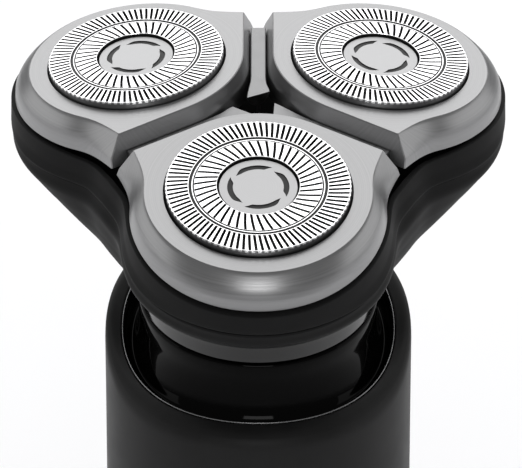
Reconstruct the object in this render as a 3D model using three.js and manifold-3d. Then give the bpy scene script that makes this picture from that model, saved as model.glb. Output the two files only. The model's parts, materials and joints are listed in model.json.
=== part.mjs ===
// A cordless rotary shaver with three floating cutters on a head that leans forward.
// Units are millimetres and +Z is up. The origin is the centre of the handle's flat base, and the front
// faces -Y.
//
// Two more frames are used. The head frame has its origin on the head's axis, in the plane of the
// cutters, with its z along that axis. Each petal frame has its origin at the middle of a cutter's face,
// with y pointing out from the head's axis and z out of the cutter. Depths in both are measured down
// from the cutter's face.
import * as THREE from "three";
import { mergeVertices } from "three/addons/utils/BufferGeometryUtils.js";
import Module from "manifold-3d";

const wasm = await Module();
wasm.setup();

const DEG = Math.PI / 180;
const TURN = 2 * Math.PI;
const CLEARANCE = 0.3; // between pieces that touch
const LOBED_SIDES = 42; // sides of the housing
const FINE_ROUND = 36; // sides of a large round piece
const ROUND = 24;
const SMALL_ROUND = 12;
const CUT = 1; // how far a cutting tool runs past the face that it cuts
const LAP = 0.5; // how far two joined solids reach into each other

// Handle
const NECK_HEIGHT = 118; // where the head's axis crosses the handle's axis
const HANDLE_BASE_RADIUS = 22;
const HANDLE_TOP_RADIUS = 20.9;
const HANDLE_WALL = 1.8;
const FRONT_WALL = [-30, -10]; // a span from front to back that takes in the whole front wall
const BACK_WALL = [10, 30];
const BASE_HEIGHT = 3.2;
const BASE_FLOOR = 2.2;
const BASE_PLUG_TOP = 8;
const BASE_PLUG_WALL = 1.6;
const FOOT_INSET = [2.2, 0]; // how far the flat foot lies inside the base's edge, and its height
const FOOT_EDGE = [0.6, 0.9]; // the same for the rounded corner above it
const BEND_START = NECK_HEIGHT - 30; // above this the handle starts to follow its slanted rim
const BEND_END = NECK_HEIGHT - 8;
const RIM_RADIUS = 18.6;
const RING_WIDTH = 0.35;
const RING_HEIGHT = 1.3;
const RING_PROUD = 0.1; // how far the ring stands above the rim
const CHAMFER_DROP = 1.7; // from the rim's inner edge down to the handle's outer wall
const RIM_MID = -0.3; // the rim beside the neck, measured up from the neck's height
const RIM_SLOPE = 0.463; // the rim's rise towards the back
const RIM_FRONT_CURVE = 0.01;
const RIM_BACK_CURVE = -0.012;

// Button, light window, charging socket and what the handle holds
const BUTTON_HEIGHT = 78;
const BUTTON_RADIUS = 6.4;
const BUTTON_THICKNESS = 4;
const BUTTON_PROUD = 0.2; // how far the button stands out of the handle
const BEZEL_PROUD = 0.4;
const BEZEL_DEPTH = 4;
const BUTTON_TRAVEL = 0.6;
const BUTTON_STEM_END = -13.6;
const STEM_RADIUS = 2;
const BUTTON_SEAL = [-16.7, -16]; // front and back of the seal behind the button
const BUTTON_SEAL_RADIUS = 7.8;
const SWITCH_SIZE = [6, 6];
const SWITCH_FRONT = -12.2;
const PLUNGER_RADIUS = 1.5;
const BEZEL_RADIUS = 8.4;
const WINDOW_HEIGHT = 58;
const WINDOW_SIZE = [9, 2.6];
const SOCKET_HEIGHT = 15;
const SOCKET_SIZE = [11, 5.6];
const SOCKET_MOUTH = [9, 3.2];
const SOCKET_INSET = 0.8; // from the handle's surface to the socket's face
const SOCKET_LENGTH = 7;
const MOUTH_LENGTH = 6;
const BOARD_FRONT = -9.6;
const BOARD_THICKNESS = 1.6;
const BOARD_WIDTH = 21;
const BOARD_TOP = 88;
const FRAME_FRONT = BOARD_FRONT + BOARD_THICKNESS + 0.4;
const FRAME_WIDTH = 24;
const FRAME_THICKNESS = 1.4;
const FRAME_TOP = 82;
const SHELF_TOP = 10.2; // of the frame's shelf under the board and the battery
const SHELF_THICKNESS = 1.6;
const SHELF_LENGTH = 16;
const SHELF_GAP = 0.4; // under the board and the battery
const CELL_RADIUS = 7;
const CELL_LENGTH = 50;
const CELL_MIDDLE = FRAME_FRONT + FRAME_THICKNESS + CELL_RADIUS + 0.8;

// Head
const HEAD_LEAN = 15 * DEG;
const NECK_TO_CUTTERS = 38;
const LOBES = 3;
const CUTTER_OFFSET = 18.5; // from the head's axis to the middle of a cutter
const CUTTER_TILT = 6.2 * DEG; // each cutter leans away from the head's axis
const LOBE_RADIUS = 16.95; // of the housing around each cutter
const LOBE_REACH = CUTTER_OFFSET + LOBE_RADIUS;
const WAIST_RADIUS = 22.8; // of the housing between two lobes, from the head's axis
const WAIST_SOFTNESS = 1.5;
const DECK_TOP = 5.3; // depth of the deck's edge
const DECK_SKIRT = 8.2; // depth of the lower edge of its wall
const DECK_FLOOR = [9, 9.9]; // depths of the deck's floor
const CUP = [[3.85, 9], [3.25, 8.2], [1.45, 6.8], [1.2, DECK_TOP]]; // inside of the deck's wall: inset and depth
const WAIST_DIP = 1.4; // how much lower the deck's edge is between two lobes
const DIP_ANGLES = [22 * DEG, 60 * DEG]; // from a lobe's middle, where that dip starts and is full
const LEAN_ROOM = 4; // how much longer a leaning cutting tool is than the floor is thick
const HOUSING_WALL = 1.6;
const HEAD_BOTTOM = 31.5; // depth of the head's lower face
const HEAD_FLOOR = 1.4; // thickness of the head's lower face
const LOBED_DEPTH = 7.8; // depth down to which the housing keeps its full lobes
const ROUND_DEPTH = 29.5; // depth at which it has become round
const HEAD_BOTTOM_RADIUS = 16.2;
const FUNNEL = [
  [8.5, 35.25],
  [10.5, 34.9],
  [12.5, 33.2],
  [15, 30.7],
  [18, 26.9],
  [21, 22.5],
  [24.5, 18.8],
  [28, 16.5],
  [HEAD_BOTTOM, HEAD_BOTTOM_RADIUS],
]; // depths of the lower half of the housing, and its reach at a lobe's middle

// Neck and motor, with heights in the head frame
const NECK_RADIUS = 16.2;
const NECK_WALL = 1.8;
const COLLAR_TOP = -HEAD_BOTTOM - CLEARANCE;
const COLLAR_PLATE = 2;
const COLLAR_LENGTH = 16;
const COLLAR_CHAMFER = 0.6;
const SKIRT_LAP = 0.8; // how far the dished skirt reaches into the leaning tube
const SKIRT_HEIGHT = 6;
const SEAL_RADIUS = 6.6;
const MAGNET = [8, 11];
const MAGNET_HEIGHT = 1.6;
const MOTOR_RADIUS = 10.4;
const MOTOR_TOP = -46.5;
const MOTOR_BOTTOM = -70;
const MOTOR_END = 1.7; // thickness of the motor's end cap
const MOTOR_WALL = 1;
const MOTOR_ROOF = 1.4;
const ARMATURE_RADIUS = 8.6;
const COMMUTATOR_RADIUS = 3.5;
const COMMUTATOR_HEIGHT = 3;
const ROTOR_GAP = 0.5; // between the armature and each end of the motor
const SHAFT_TAIL = 0.8; // how far the shaft stands out of the end cap
const SHAFT_RADIUS = 1;
const BRACKET = [MOTOR_TOP + CLEARANCE, MOTOR_TOP + CLEARANCE + 1.6];
const BRACKET_HOLE = 3;
const SCREW_OFFSET = 6;
const SCREW_SHANK = 0.6;
const SCREW_BITE = 1.2; // how deep a screw goes into the motor
const SCREW_HEAD = [[1.8, 0], [1.8, 0.7], [1.2, 1.2], [0, 1.2]]; // radii and heights above its seat
const COUPLING_CORNER = 3.2;
const COUPLING = [-41.5, -29.2];
const COUPLING_BORE = 5.4;
const DRIVE_SOCKET = [-35.5, -27.5];
const DRIVE_SOCKET_RADIUS = 5;
const SUN_SHAFT_RADIUS = 2.6;

// Petals
const PLATE_DEPTH = 0.9;
const PLATE_RADIUS = 14.2;
const PLATE_HOLE = 12.1;
const SHOULDER = [16.5, 3.7]; // radius and depth of the bevel's lower edge
const BAND = [16.7, 5]; // radius and depth of the petal's lower edge
const SKIN = 1; // thickness of the petal's metal
const GAP_TOP = 1.9; // half the gap between two petals, at the plate
const GAP_LEAN = 0.33; // how much that narrows for each millimetre of depth
const FLARE_ANGLE = 90 * DEG; // where the outline starts to swing out to the ear
const FLARE_POWER = 1.8;
const CORNER_ANGLE = 110 * DEG; // of an ear's corner, from straight out
const CORNER_REACH = 3.3; // how far the corner stands out past the wall's distance
const WALL_ANGLE = 150 * DEG; // of the normal to a gap's wall
const CARRIER = [10.6, 13.6]; // radii of the ring under a petal
const CARRIER_DEPTH = [4.2, 5.6];
const HINGE_OFFSET = 13; // from the cutter's middle out to the petal's hinge pin
const HINGE_DEPTH = 6.6;
const PIN_RADIUS = 0.6;
const PIN_HALF_LENGTH = 8.5;
const LUG_REACH = 1; // of a lug or a knuckle, to each side of the hinge
const LUG_OFFSET = 7.3; // of the deck's lugs, along the hinge
const LUG_HALF_WIDTH = 1.2;
const LUG_TOP = 0.7 - HINGE_DEPTH;
const LUG_BOTTOM = 8.05; // depth of a lug's lower end, in the deck's wall
const KNUCKLE_OFFSET = 4;
const KNUCKLE_HALF_WIDTH = 1.5;
const BRIDGE_HALF_WIDTH = KNUCKLE_OFFSET + KNUCKLE_HALF_WIDTH;
const SPIDER_DEPTH = 3; // of the spider's top, between the petals
const SPIDER_REACH = [3.4, 19.3]; // of its arms, from the head's axis
const SPIDER_WEB = 0.25; // half the thickness of the web under an arm
const WEB_REACH = 18.3;
const SPIDER_LAP = 0.1; // how far the web reaches into the arm
const SPIDER_POST = 1.2; // radius of the post on the head's axis

// Cutters and their drive
const CUTTER_RADIUS = 11.5;
const SKIRT_RADIUS = 11.7;
const FLANGE_RADIUS = 12.9;
const FLANGE_DEPTH = [2.2, 3];
const SKIRT_WALL = 0.5;
const CAP_FACE = 0.6; // thickness of the slotted face
const CAP_EDGE = [CUTTER_RADIUS - 0.2, -0.35]; // where the face ends, and the height where the skirt starts
const CAP_SIDES = 28;
const DISC_RADIUS = 4.6;
const DISC_THICKNESS = 0.65;
const DISC_TOP = -0.35; // the disc lies in a shallow seat in the face
const DISC_EDGE = 0.15;
const BLADES = 8;
const BLADE_REACH = [6.2, 10.6];
const BLADE_THICKNESS = 0.8;
const BLADE_DISC_RADIUS = 10.9;
const BLADE_DISC_DEPTH = [2.2, 2.8];
const BLADE_HUB_RADIUS = 3;
const BLADE_HUB_DEPTH = 5;
const RETAINER = [4.2, 10.2];
const RETAINER_DEPTH = [4.5, 5.3];
const TAB_OFFSET = 7.5;
const TAB_SIZE = [2, 3.2, 1.4];
const SPINDLE_RADIUS = 1.5;
const SPINDLE_TOP = 3.1; // depth
const SPINDLE_COLLAR_RADIUS = 2.6;
const SPINDLE_COLLAR_DEPTH = [5.6, 6.4];
const SPINDLE_NECK_RADIUS = 1.2;
const BALL_RADIUS = 1.6;
const BALL_DEPTH = 13;
const DECK_HOLE = 2.8;
const MODULE = 0.75;
const SUN_TEETH = 14;
const PLANET_TEETH = 32;
const PRESSURE_ANGLE = 20 * DEG;
const ADDENDUM = 0.8; // in modules
const DEDENDUM = 1.2; // in modules
const BACKLASH = 0.24; // taken off each tooth's width
const GEAR_OFFSET = ((SUN_TEETH + PLANET_TEETH) / 2) * MODULE;
const GEAR = [-13.9, -12.1]; // lower and upper faces of the gears, in the head frame
const HUB_RADIUS = 3.4;
const HUB_BORE = 2.4;
const HUB_BOTTOM = -18.4;
const HUB_FLOOR = 0.6;
const HUB_DRAIN = 0.8; // radius of the hole in the hub's floor
const COVER = [-16.6, -15.4]; // lower and upper faces of the plate under the gears
const COVER_SCALE = 0.76; // of that plate, against the housing's outline
const SPRING_RADIUS = 1.6;
const SPRING_WIRE = 0.2;
const SPRING_TURNS = 3;
const SPRING_HEIGHT = 2.2;
const WIRE_SIDES = 5;
const STEPS_PER_TURN = 9;

const material = (color, roughness, metalness) =>
  new THREE.MeshStandardMaterial({ color, roughness, metalness });
const SATIN_METAL = material(0xa9a9ab, 0.35, 1);
const STEEL = material(0xc9cacc, 0.25, 1);
const DARK_STEEL = material(0x55565a, 0.35, 1);
const MATTE_BLACK = material(0x26272a, 0.6, 0);
const GLOSS_BLACK = material(0x08080a, 0.12, 0);
const RUBBER = material(0x18181a, 0.85, 0);
const WHITE_PLASTIC = material(0xd8d8d2, 0.5, 0);
const GREY_PLASTIC = material(0x77787c, 0.5, 0);
const BOARD_GREEN = material(0x1f5a38, 0.5, 0);
const CELL_WRAP = material(0x2d5f8f, 0.4, 0);
const WINDOW = material(0x303236, 0.1, 0);

const object = new THREE.Group();

// ---- Geometry helpers ----

// A turned piece from [radius, height] pairs. The outer side runs upwards, and a profile that isn't on
// the axis at both ends is closed.
function turned(profile, sides = ROUND) {
  const points = profile.map(([radius, height]) => new THREE.Vector2(radius, height));
  const first = profile[0];
  const last = profile[profile.length - 1];
  if (first[0] > 0 || last[0] > 0) points.push(points[0].clone());
  return new THREE.LatheGeometry(points, sides).rotateX(Math.PI / 2);
}

// A turned ring with a square section.
function ring(inner, outer, bottom, top, sides = ROUND) {
  return turned([[inner, bottom], [outer, bottom], [outer, top], [inner, top]], sides);
}

// A turned solid cylinder.
function rod(radius, bottom, top, sides = SMALL_ROUND) {
  return turned([[0, bottom], [radius, bottom], [radius, top], [0, top]], sides);
}

// A box between two corners.
function block(low, high) {
  const size = high.map((value, axis) => value - low[axis]);
  const middle = high.map((value, axis) => (value + low[axis]) / 2);
  return new THREE.BoxGeometry(...size).translate(...middle);
}

// A flat outline raised from one height to another.
function raised(points, bottom, top, holes = []) {
  const shape = new THREE.Shape(points.map(([x, y]) => new THREE.Vector2(x, y)));
  for (const [x, y, radius] of holes) {
    const hole = new THREE.Path();
    hole.absarc(x, y, radius, 0, TURN, true);
    shape.holes.push(hole);
  }
  const options = { depth: top - bottom, bevelEnabled: false, curveSegments: 8 };
  return new THREE.ExtrudeGeometry(shape, options).translate(0, 0, bottom);
}

// Moves every point of a geometry by a function of its place.
function warped(geometry, move) {
  const positions = geometry.getAttribute("position");
  for (let i = 0; i < positions.count; i += 1) {
    const moved = move(positions.getX(i), positions.getY(i), positions.getZ(i));
    positions.setXYZ(i, ...moved);
  }
  return geometry;
}

function toSolid(geometry) {
  const bare = geometry.clone();
  bare.deleteAttribute("normal");
  bare.deleteAttribute("uv");
  const merged = mergeVertices(bare, 1e-4);
  const corners = merged.index.array;
  const triangles = [];
  for (let i = 0; i < corners.length; i += 3) {
    const [a, b, c] = corners.slice(i, i + 3);
    if (a !== b && b !== c && c !== a) triangles.push(a, b, c);
  }
  const vertProperties = merged.getAttribute("position").array;
  const mesh = new wasm.Mesh({ numProp: 3, vertProperties, triVerts: new Uint32Array(triangles) });
  return new wasm.Manifold(mesh);
}

function toGeometry(solid) {
  const mesh = solid.getMesh();
  const geometry = new THREE.BufferGeometry();
  geometry.setAttribute("position", new THREE.BufferAttribute(mesh.vertProperties, 3));
  geometry.setIndex(new THREE.BufferAttribute(mesh.triVerts, 1));
  return geometry;
}

function joined(...geometries) {
  return toGeometry(geometries.map(toSolid).reduce((whole, next) => whole.add(next)));
}

function cut(geometry, ...tools) {
  const solid = toSolid(geometry);
  return toGeometry(tools.map(toSolid).reduce((rest, tool) => rest.subtract(tool), solid));
}

function common(geometry, other) {
  return toGeometry(toSolid(geometry).intersect(toSolid(other)));
}

const smoothstep = (low, high, value) => THREE.MathUtils.smoothstep(value, low, high);
const polar = (radius, angle) => [radius * Math.cos(angle), radius * Math.sin(angle)];
const lobeIndexes = Array.from({ length: LOBES }, (_, index) => index);

// ---- Frames ----

// The first lobe points to the front, and the others follow anticlockwise seen from above.
const lobeAngle = (index) => -Math.PI / 2 + (index * TURN) / LOBES;

const headForward = NECK_TO_CUTTERS * Math.sin(HEAD_LEAN);
const headUp = NECK_TO_CUTTERS * Math.cos(HEAD_LEAN);
const headMatrix = new THREE.Matrix4()
  .makeRotationX(HEAD_LEAN)
  .setPosition(0, -headForward, NECK_HEIGHT + headUp);

function petalMatrix(index) {
  const turn = new THREE.Matrix4().makeRotationZ(lobeAngle(index) - Math.PI / 2);
  const tilt = new THREE.Matrix4().makeRotationX(-CUTTER_TILT).setPosition(0, CUTTER_OFFSET, 0);
  return turn.multiply(tilt);
}

const head = new THREE.Group();
head.applyMatrix4(headMatrix);
object.add(head);

const petalFrames = lobeIndexes.map((index) => {
  const frame = new THREE.Group();
  frame.applyMatrix4(petalMatrix(index));
  head.add(frame);
  return frame;
});

function place(frame, name, geometry, look) {
  const mesh = new THREE.Mesh(geometry, look);
  mesh.name = name;
  frame.add(mesh);
  return mesh;
}

// ---- Outlines ----

// The housing's reach from the head's axis, at an angle from the middle of a lobe.
function housingReach(angle) {
  const across = CUTTER_OFFSET * Math.sin(angle);
  const lobe = CUTTER_OFFSET * Math.cos(angle) + Math.sqrt(LOBE_RADIUS ** 2 - across ** 2);
  const sum = Math.exp(lobe / WAIST_SOFTNESS) + Math.exp(WAIST_RADIUS / WAIST_SOFTNESS);
  return Math.min(WAIST_SOFTNESS * Math.log(sum), LOBE_REACH);
}

// The angle from the middle of the nearest lobe.
function angleInLobe(x, y) {
  const sector = TURN / LOBES;
  const fromLobe = Math.atan2(y, x) - lobeAngle(0) + sector / 2;
  return THREE.MathUtils.euclideanModulo(fromLobe, sector) - sector / 2;
}

// Gives a turned piece of the housing its lobes, which lean outwards like the cutters and fade into a
// round neck.
function lobed(geometry) {
  return warped(geometry, (x, y, z) => {
    const strength = 1 - smoothstep(LOBED_DEPTH, ROUND_DEPTH, -z);
    const angle = angleInLobe(x, y);
    const scale = THREE.MathUtils.lerp(1, housingReach(angle) / LOBE_REACH, strength);
    const outwards = Math.hypot(x, y) * scale * Math.cos(angle) - CUTTER_OFFSET;
    return [x * scale, y * scale, z - outwards * Math.tan(CUTTER_TILT) * strength];
  });
}

// The round part of a petal's outline: the plate, then the bevel, then the lower band.
function petalRound(depth) {
  const [shoulderRadius, shoulderDepth] = SHOULDER;
  const [bandRadius, bandDepth] = BAND;
  if (depth > shoulderDepth) {
    return THREE.MathUtils.mapLinear(depth, shoulderDepth, bandDepth, shoulderRadius, bandRadius);
  }
  const down = Math.max(0, depth - PLATE_DEPTH) / (shoulderDepth - PLATE_DEPTH);
  return PLATE_RADIUS + (shoulderRadius - PLATE_RADIUS) * down;
}

// Half the gap between two petals at a depth.
const halfGapAt = (depth) => GAP_TOP - GAP_LEAN * Math.max(0, depth - PLATE_DEPTH);

// The distance from a cutter's axis to the wall of a gap. The cutter's tilt brings that wall closer
// with depth.
function wallDistanceAt(depth) {
  const gapAngle = TURN / LOBES / 2;
  const tiltDrift = depth * Math.sin(CUTTER_TILT);
  return (CUTTER_OFFSET - tiltDrift) * Math.sin(gapAngle) - halfGapAt(depth);
}

// A petal's reach from the middle of its cutter, with its two ears and the straight walls of the gaps.
function petalReach(angle, depth) {
  const round = petalRound(depth);
  const wallDistance = wallDistanceAt(depth);
  if (angle > WALL_ANGLE) return wallDistance;
  if (angle > CORNER_ANGLE) return wallDistance / Math.cos(angle - WALL_ANGLE);
  const along = Math.max(0, angle - FLARE_ANGLE) / (CORNER_ANGLE - FLARE_ANGLE);
  return THREE.MathUtils.lerp(round, wallDistance + CORNER_REACH, along ** FLARE_POWER);
}

// Gives a turned piece the petal's outline outside the cutter's round hole.
function petalled(geometry) {
  return warped(geometry, (x, y, z) => {
    const radius = Math.hypot(x, y);
    if (radius <= PLATE_HOLE) return [x, y, z];
    const angle = Math.abs(Math.atan2(x, y));
    const stretch = (petalReach(angle, -z) - PLATE_HOLE) / (petalRound(-z) - PLATE_HOLE);
    const scale = (PLATE_HOLE + (radius - PLATE_HOLE) * stretch) / radius;
    return [x * scale, y * scale, z];
  });
}

// ---- Handle ----

// The rim dips at the front and rises to the back.
function rimHeight(y) {
  const curve = y < 0 ? RIM_FRONT_CURVE : RIM_BACK_CURVE;
  return RIM_MID + RIM_SLOPE * y + curve * y * y;
}

const handleRadius = (height) =>
  THREE.MathUtils.mapLinear(height, 0, NECK_HEIGHT, HANDLE_BASE_RADIUS, HANDLE_TOP_RADIUS);

// Bends the top of a turned piece of the handle to follow the rim, and leaves it straight lower down.
function followRim(geometry) {
  return warped(geometry, (x, y, z) => {
    const strength = smoothstep(BEND_START, BEND_END, z);
    return [x, y, z + rimHeight(y) * strength];
  });
}

// A box with a width and height, grown by a margin, that runs from front to back at a height on the
// handle.
function centredBlock([width, height], margin, front, back, middle) {
  const halfWidth = width / 2 + margin;
  const halfHeight = height / 2 + margin;
  return block([-halfWidth, front, middle - halfHeight], [halfWidth, back, middle + halfHeight]);
}

// A round bar on the button's axis, from one depth to another.
function buttonBar(radius, front, back, sides = ROUND) {
  return rod(radius, -back, -front, sides).rotateX(Math.PI / 2).translate(0, 0, BUTTON_HEIGHT);
}

function handleShell() {
  const bottom = BASE_HEIGHT + CLEARANCE;
  const chamfer = NECK_HEIGHT - CHAMFER_DROP;
  const heights = [bottom, BEND_START, (BEND_START + BEND_END) / 2, BEND_END, chamfer];
  const outer = heights.map((height) => [handleRadius(height), height]);
  const straight = heights.slice(0, -1).reverse();
  const inner = straight.map((height) => [handleRadius(height) - HANDLE_WALL, height]);
  const edge = RIM_RADIUS + CLEARANCE;
  const top = [[edge, NECK_HEIGHT], [edge, chamfer - 1]];
  const shell = followRim(turned([...outer, ...top, ...inner], FINE_ROUND));
  const buttonHole = buttonBar(BEZEL_RADIUS + CLEARANCE, ...FRONT_WALL);
  const windowHole = centredBlock(WINDOW_SIZE, CLEARANCE, ...FRONT_WALL, WINDOW_HEIGHT);
  const socketHole = centredBlock(SOCKET_SIZE, CLEARANCE, ...BACK_WALL, SOCKET_HEIGHT);
  return cut(shell, buttonHole, windowHole, socketHole);
}

function baseCap() {
  const radius = handleRadius(BASE_HEIGHT);
  const plug = radius - HANDLE_WALL - CLEARANCE;
  const bore = plug - BASE_PLUG_WALL;
  const foot = [FOOT_INSET, FOOT_EDGE].map(([inset, height]) => [radius - inset, height]);
  const outside = [[0, 0], ...foot, [radius, BASE_HEIGHT]];
  const plugOutside = [[plug, BASE_HEIGHT], [plug, BASE_PLUG_TOP]];
  const plugInside = [[bore, BASE_PLUG_TOP], [bore, BASE_FLOOR], [0, BASE_FLOOR]];
  return turned([...outside, ...plugOutside, ...plugInside], FINE_ROUND);
}

// The thin bright ring inside the handle's rim, around the glossy collar.
function rimRing() {
  const bottom = NECK_HEIGHT + RING_PROUD - RING_HEIGHT;
  const top = NECK_HEIGHT + RING_PROUD;
  return followRim(ring(RIM_RADIUS - RING_WIDTH, RIM_RADIUS, bottom, top, FINE_ROUND));
}

// The glossy collar: a leaning tube under the head, and a dished skirt that runs out to the rim.
function neckCollar() {
  const outside = RIM_RADIUS - RING_WIDTH - CLEARANCE;
  const inside = NECK_RADIUS - NECK_WALL - SKIRT_LAP;
  const low = NECK_HEIGHT - SKIRT_HEIGHT;
  const skirtProfile = [
    [inside, low],
    [outside, low],
    [outside, NECK_HEIGHT - 0.4],
    [outside - 0.9, NECK_HEIGHT - 1.3],
    [inside, NECK_HEIGHT - 2],
  ];
  const bore = NECK_RADIUS - NECK_WALL;
  const tubeProfile = [
    [bore, COLLAR_TOP - COLLAR_LENGTH],
    [NECK_RADIUS, COLLAR_TOP - COLLAR_LENGTH],
    [NECK_RADIUS, COLLAR_TOP - COLLAR_CHAMFER],
    [NECK_RADIUS - COLLAR_CHAMFER, COLLAR_TOP],
    [SEAL_RADIUS + CLEARANCE, COLLAR_TOP],
    [SEAL_RADIUS + CLEARANCE, COLLAR_TOP - COLLAR_PLATE],
    [bore, COLLAR_TOP - COLLAR_PLATE],
  ];
  const hollow = rod(bore, COLLAR_TOP - 2 * COLLAR_LENGTH, COLLAR_TOP - COLLAR_PLATE, ROUND);
  const skirt = cut(followRim(turned(skirtProfile, FINE_ROUND)), hollow.applyMatrix4(headMatrix));
  return joined(skirt, turned(tubeProfile).applyMatrix4(headMatrix));
}

function powerButton() {
  const face = -handleRadius(BUTTON_HEIGHT) - BUTTON_PROUD;
  const cap = buttonBar(BUTTON_RADIUS, face, face + BUTTON_THICKNESS);
  return joined(cap, buttonBar(STEM_RADIUS, face + 1, BUTTON_STEM_END, SMALL_ROUND));
}

function buttonBezel() {
  const face = -handleRadius(BUTTON_HEIGHT) - BEZEL_PROUD;
  const back = face + BEZEL_DEPTH;
  const hole = buttonBar(BUTTON_RADIUS + CLEARANCE, face - CUT, back + CUT);
  const tube = cut(buttonBar(BEZEL_RADIUS, face, back), hole);
  return common(tube, handleBlank(BEZEL_PROUD));
}

// The whole handle as a solid without its rim, grown by a margin.
function handleBlank(margin) {
  const wall = [0, NECK_HEIGHT].map((height) => [handleRadius(height) + margin, height]);
  return turned([[0, 0], ...wall, [0, NECK_HEIGHT]], FINE_ROUND);
}

// A rubber disc behind the button, with a hole for its stem.
function buttonSeal() {
  const [front, back] = BUTTON_SEAL;
  return cut(
    buttonBar(BUTTON_SEAL_RADIUS, front, back),
    buttonBar(STEM_RADIUS + CLEARANCE, front - CUT, back + CUT, SMALL_ROUND),
  );
}

// A small switch on the board, with its plunger just behind the button's stem.
function tactSwitch() {
  const back = BOARD_FRONT - CLEARANCE;
  const tip = BUTTON_STEM_END + BUTTON_TRAVEL + CLEARANCE;
  const body = centredBlock(SWITCH_SIZE, 0, SWITCH_FRONT, back, BUTTON_HEIGHT);
  return joined(body, buttonBar(PLUNGER_RADIUS, tip, back - CUT, SMALL_ROUND));
}

// The light window, curved like the handle's wall.
function chargeWindow() {
  const bar = centredBlock(WINDOW_SIZE, 0, ...FRONT_WALL, WINDOW_HEIGHT);
  const reach = handleRadius(WINDOW_HEIGHT);
  const [, height] = WINDOW_SIZE;
  const wall = ring(reach - HANDLE_WALL, reach, WINDOW_HEIGHT - height, WINDOW_HEIGHT + height, FINE_ROUND);
  return common(bar, wall);
}

// A charging socket behind the back wall, with a flat mouth.
function chargingSocket() {
  const back = handleRadius(SOCKET_HEIGHT) - SOCKET_INSET;
  const body = centredBlock(SOCKET_SIZE, 0, back - SOCKET_LENGTH, back, SOCKET_HEIGHT);
  return cut(body, centredBlock(SOCKET_MOUTH, 0, back - MOUTH_LENGTH, back + CUT, SOCKET_HEIGHT));
}

// A tray between the circuit board and the battery, with a shelf under both.
function innerFrame() {
  const side = FRAME_WIDTH / 2;
  const bottom = SHELF_TOP - SHELF_THICKNESS;
  const tray = block([-side, FRAME_FRONT, bottom], [side, FRAME_FRONT + FRAME_THICKNESS, FRAME_TOP]);
  const shelf = block([-side, BOARD_FRONT, bottom], [side, FRAME_FRONT + SHELF_LENGTH, SHELF_TOP]);
  return joined(tray, shelf);
}

function circuitBoard() {
  const side = BOARD_WIDTH / 2;
  const bottom = SHELF_TOP + SHELF_GAP;
  return block([-side, BOARD_FRONT, bottom], [side, BOARD_FRONT + BOARD_THICKNESS, BOARD_TOP]);
}

function batteryCell() {
  const bottom = SHELF_TOP + SHELF_GAP;
  return rod(CELL_RADIUS, bottom, bottom + CELL_LENGTH, ROUND).translate(0, CELL_MIDDLE, 0);
}

function buildHandle() {
  place(object, "handle_shell", handleShell(), MATTE_BLACK);
  place(object, "base_cap", baseCap(), MATTE_BLACK);
  place(object, "rim_ring", rimRing(), SATIN_METAL);
  place(object, "neck_collar", neckCollar(), GLOSS_BLACK);
  place(object, "power_button", powerButton(), SATIN_METAL);
  place(object, "button_bezel", buttonBezel(), GLOSS_BLACK);
  place(object, "button_seal", buttonSeal(), RUBBER);
  place(object, "tact_switch", tactSwitch(), DARK_STEEL);
  place(object, "charge_window", chargeWindow(), WINDOW);
  place(object, "charging_socket", chargingSocket(), DARK_STEEL);
  place(object, "inner_frame", innerFrame(), GREY_PLASTIC);
  place(object, "circuit_board", circuitBoard(), BOARD_GREEN);
  place(object, "battery_cell", batteryCell(), CELL_WRAP);
}

// ---- Motor, in the head frame because it leans with the head ----

function screwHoles(bottom, top) {
  const radius = SCREW_SHANK + CLEARANCE;
  return [1, -1].map((side) => rod(radius, bottom, top).translate(side * SCREW_OFFSET, 0, 0));
}

// A steel cup that is open at the bottom, with a hole for the shaft and two for the screws.
function motorCan() {
  const bore = MOTOR_RADIUS - MOTOR_WALL;
  const bottom = MOTOR_BOTTOM + MOTOR_END + CLEARANCE;
  const roof = MOTOR_TOP - MOTOR_ROOF;
  const hole = SHAFT_RADIUS + CLEARANCE;
  const outer = [[bore, bottom], [MOTOR_RADIUS, bottom], [MOTOR_RADIUS, MOTOR_TOP]];
  const inner = [[hole, MOTOR_TOP], [hole, roof], [bore, roof]];
  return cut(turned([...outer, ...inner]), ...screwHoles(roof - CUT, MOTOR_TOP + CUT));
}

function motorEndCap() {
  return ring(SHAFT_RADIUS + CLEARANCE, MOTOR_RADIUS, MOTOR_BOTTOM, MOTOR_BOTTOM + MOTOR_END);
}

function motorBracket() {
  const plate = ring(BRACKET_HOLE, NECK_RADIUS - NECK_WALL - CLEARANCE, ...BRACKET);
  return cut(plate, ...screwHoles(BRACKET[0] - CUT, BRACKET[1] + CUT));
}

function motorScrew(side) {
  const seat = BRACKET[1] + 0.1;
  const tip = MOTOR_TOP - SCREW_BITE;
  const shank = [[0, tip], [SCREW_SHANK, tip], [SCREW_SHANK, seat]];
  const screwHead = SCREW_HEAD.map(([radius, height]) => [radius, seat + height]);
  return turned([...shank, ...screwHead], SMALL_ROUND).translate(side * SCREW_OFFSET, 0, 0);
}

// The armature with its commutator, on the shaft.
function motorRotor() {
  const top = MOTOR_TOP - MOTOR_ROOF - ROTOR_GAP;
  const bottom = MOTOR_BOTTOM + MOTOR_END + ROTOR_GAP;
  const step = bottom + COMMUTATOR_HEIGHT;
  const shaftTop = COUPLING[0] + COUPLING_BORE - ROTOR_GAP;
  const shaftBottom = MOTOR_BOTTOM - SHAFT_TAIL;
  const tail = [[0, shaftBottom], [SHAFT_RADIUS, shaftBottom], [SHAFT_RADIUS, bottom]];
  const commutator = [[COMMUTATOR_RADIUS, bottom], [COMMUTATOR_RADIUS, step]];
  const armature = [[ARMATURE_RADIUS, step], [ARMATURE_RADIUS, top]];
  const shaft = [[SHAFT_RADIUS, top], [SHAFT_RADIUS, shaftTop], [0, shaftTop]];
  return turned([...tail, ...commutator, ...armature, ...shaft]);
}

const polygon = (corner, sides) =>
  Array.from({ length: sides }, (_, side) => polar(corner, (side * TURN) / sides));
const hexagon = (corner) => polygon(corner, 6);

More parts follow.
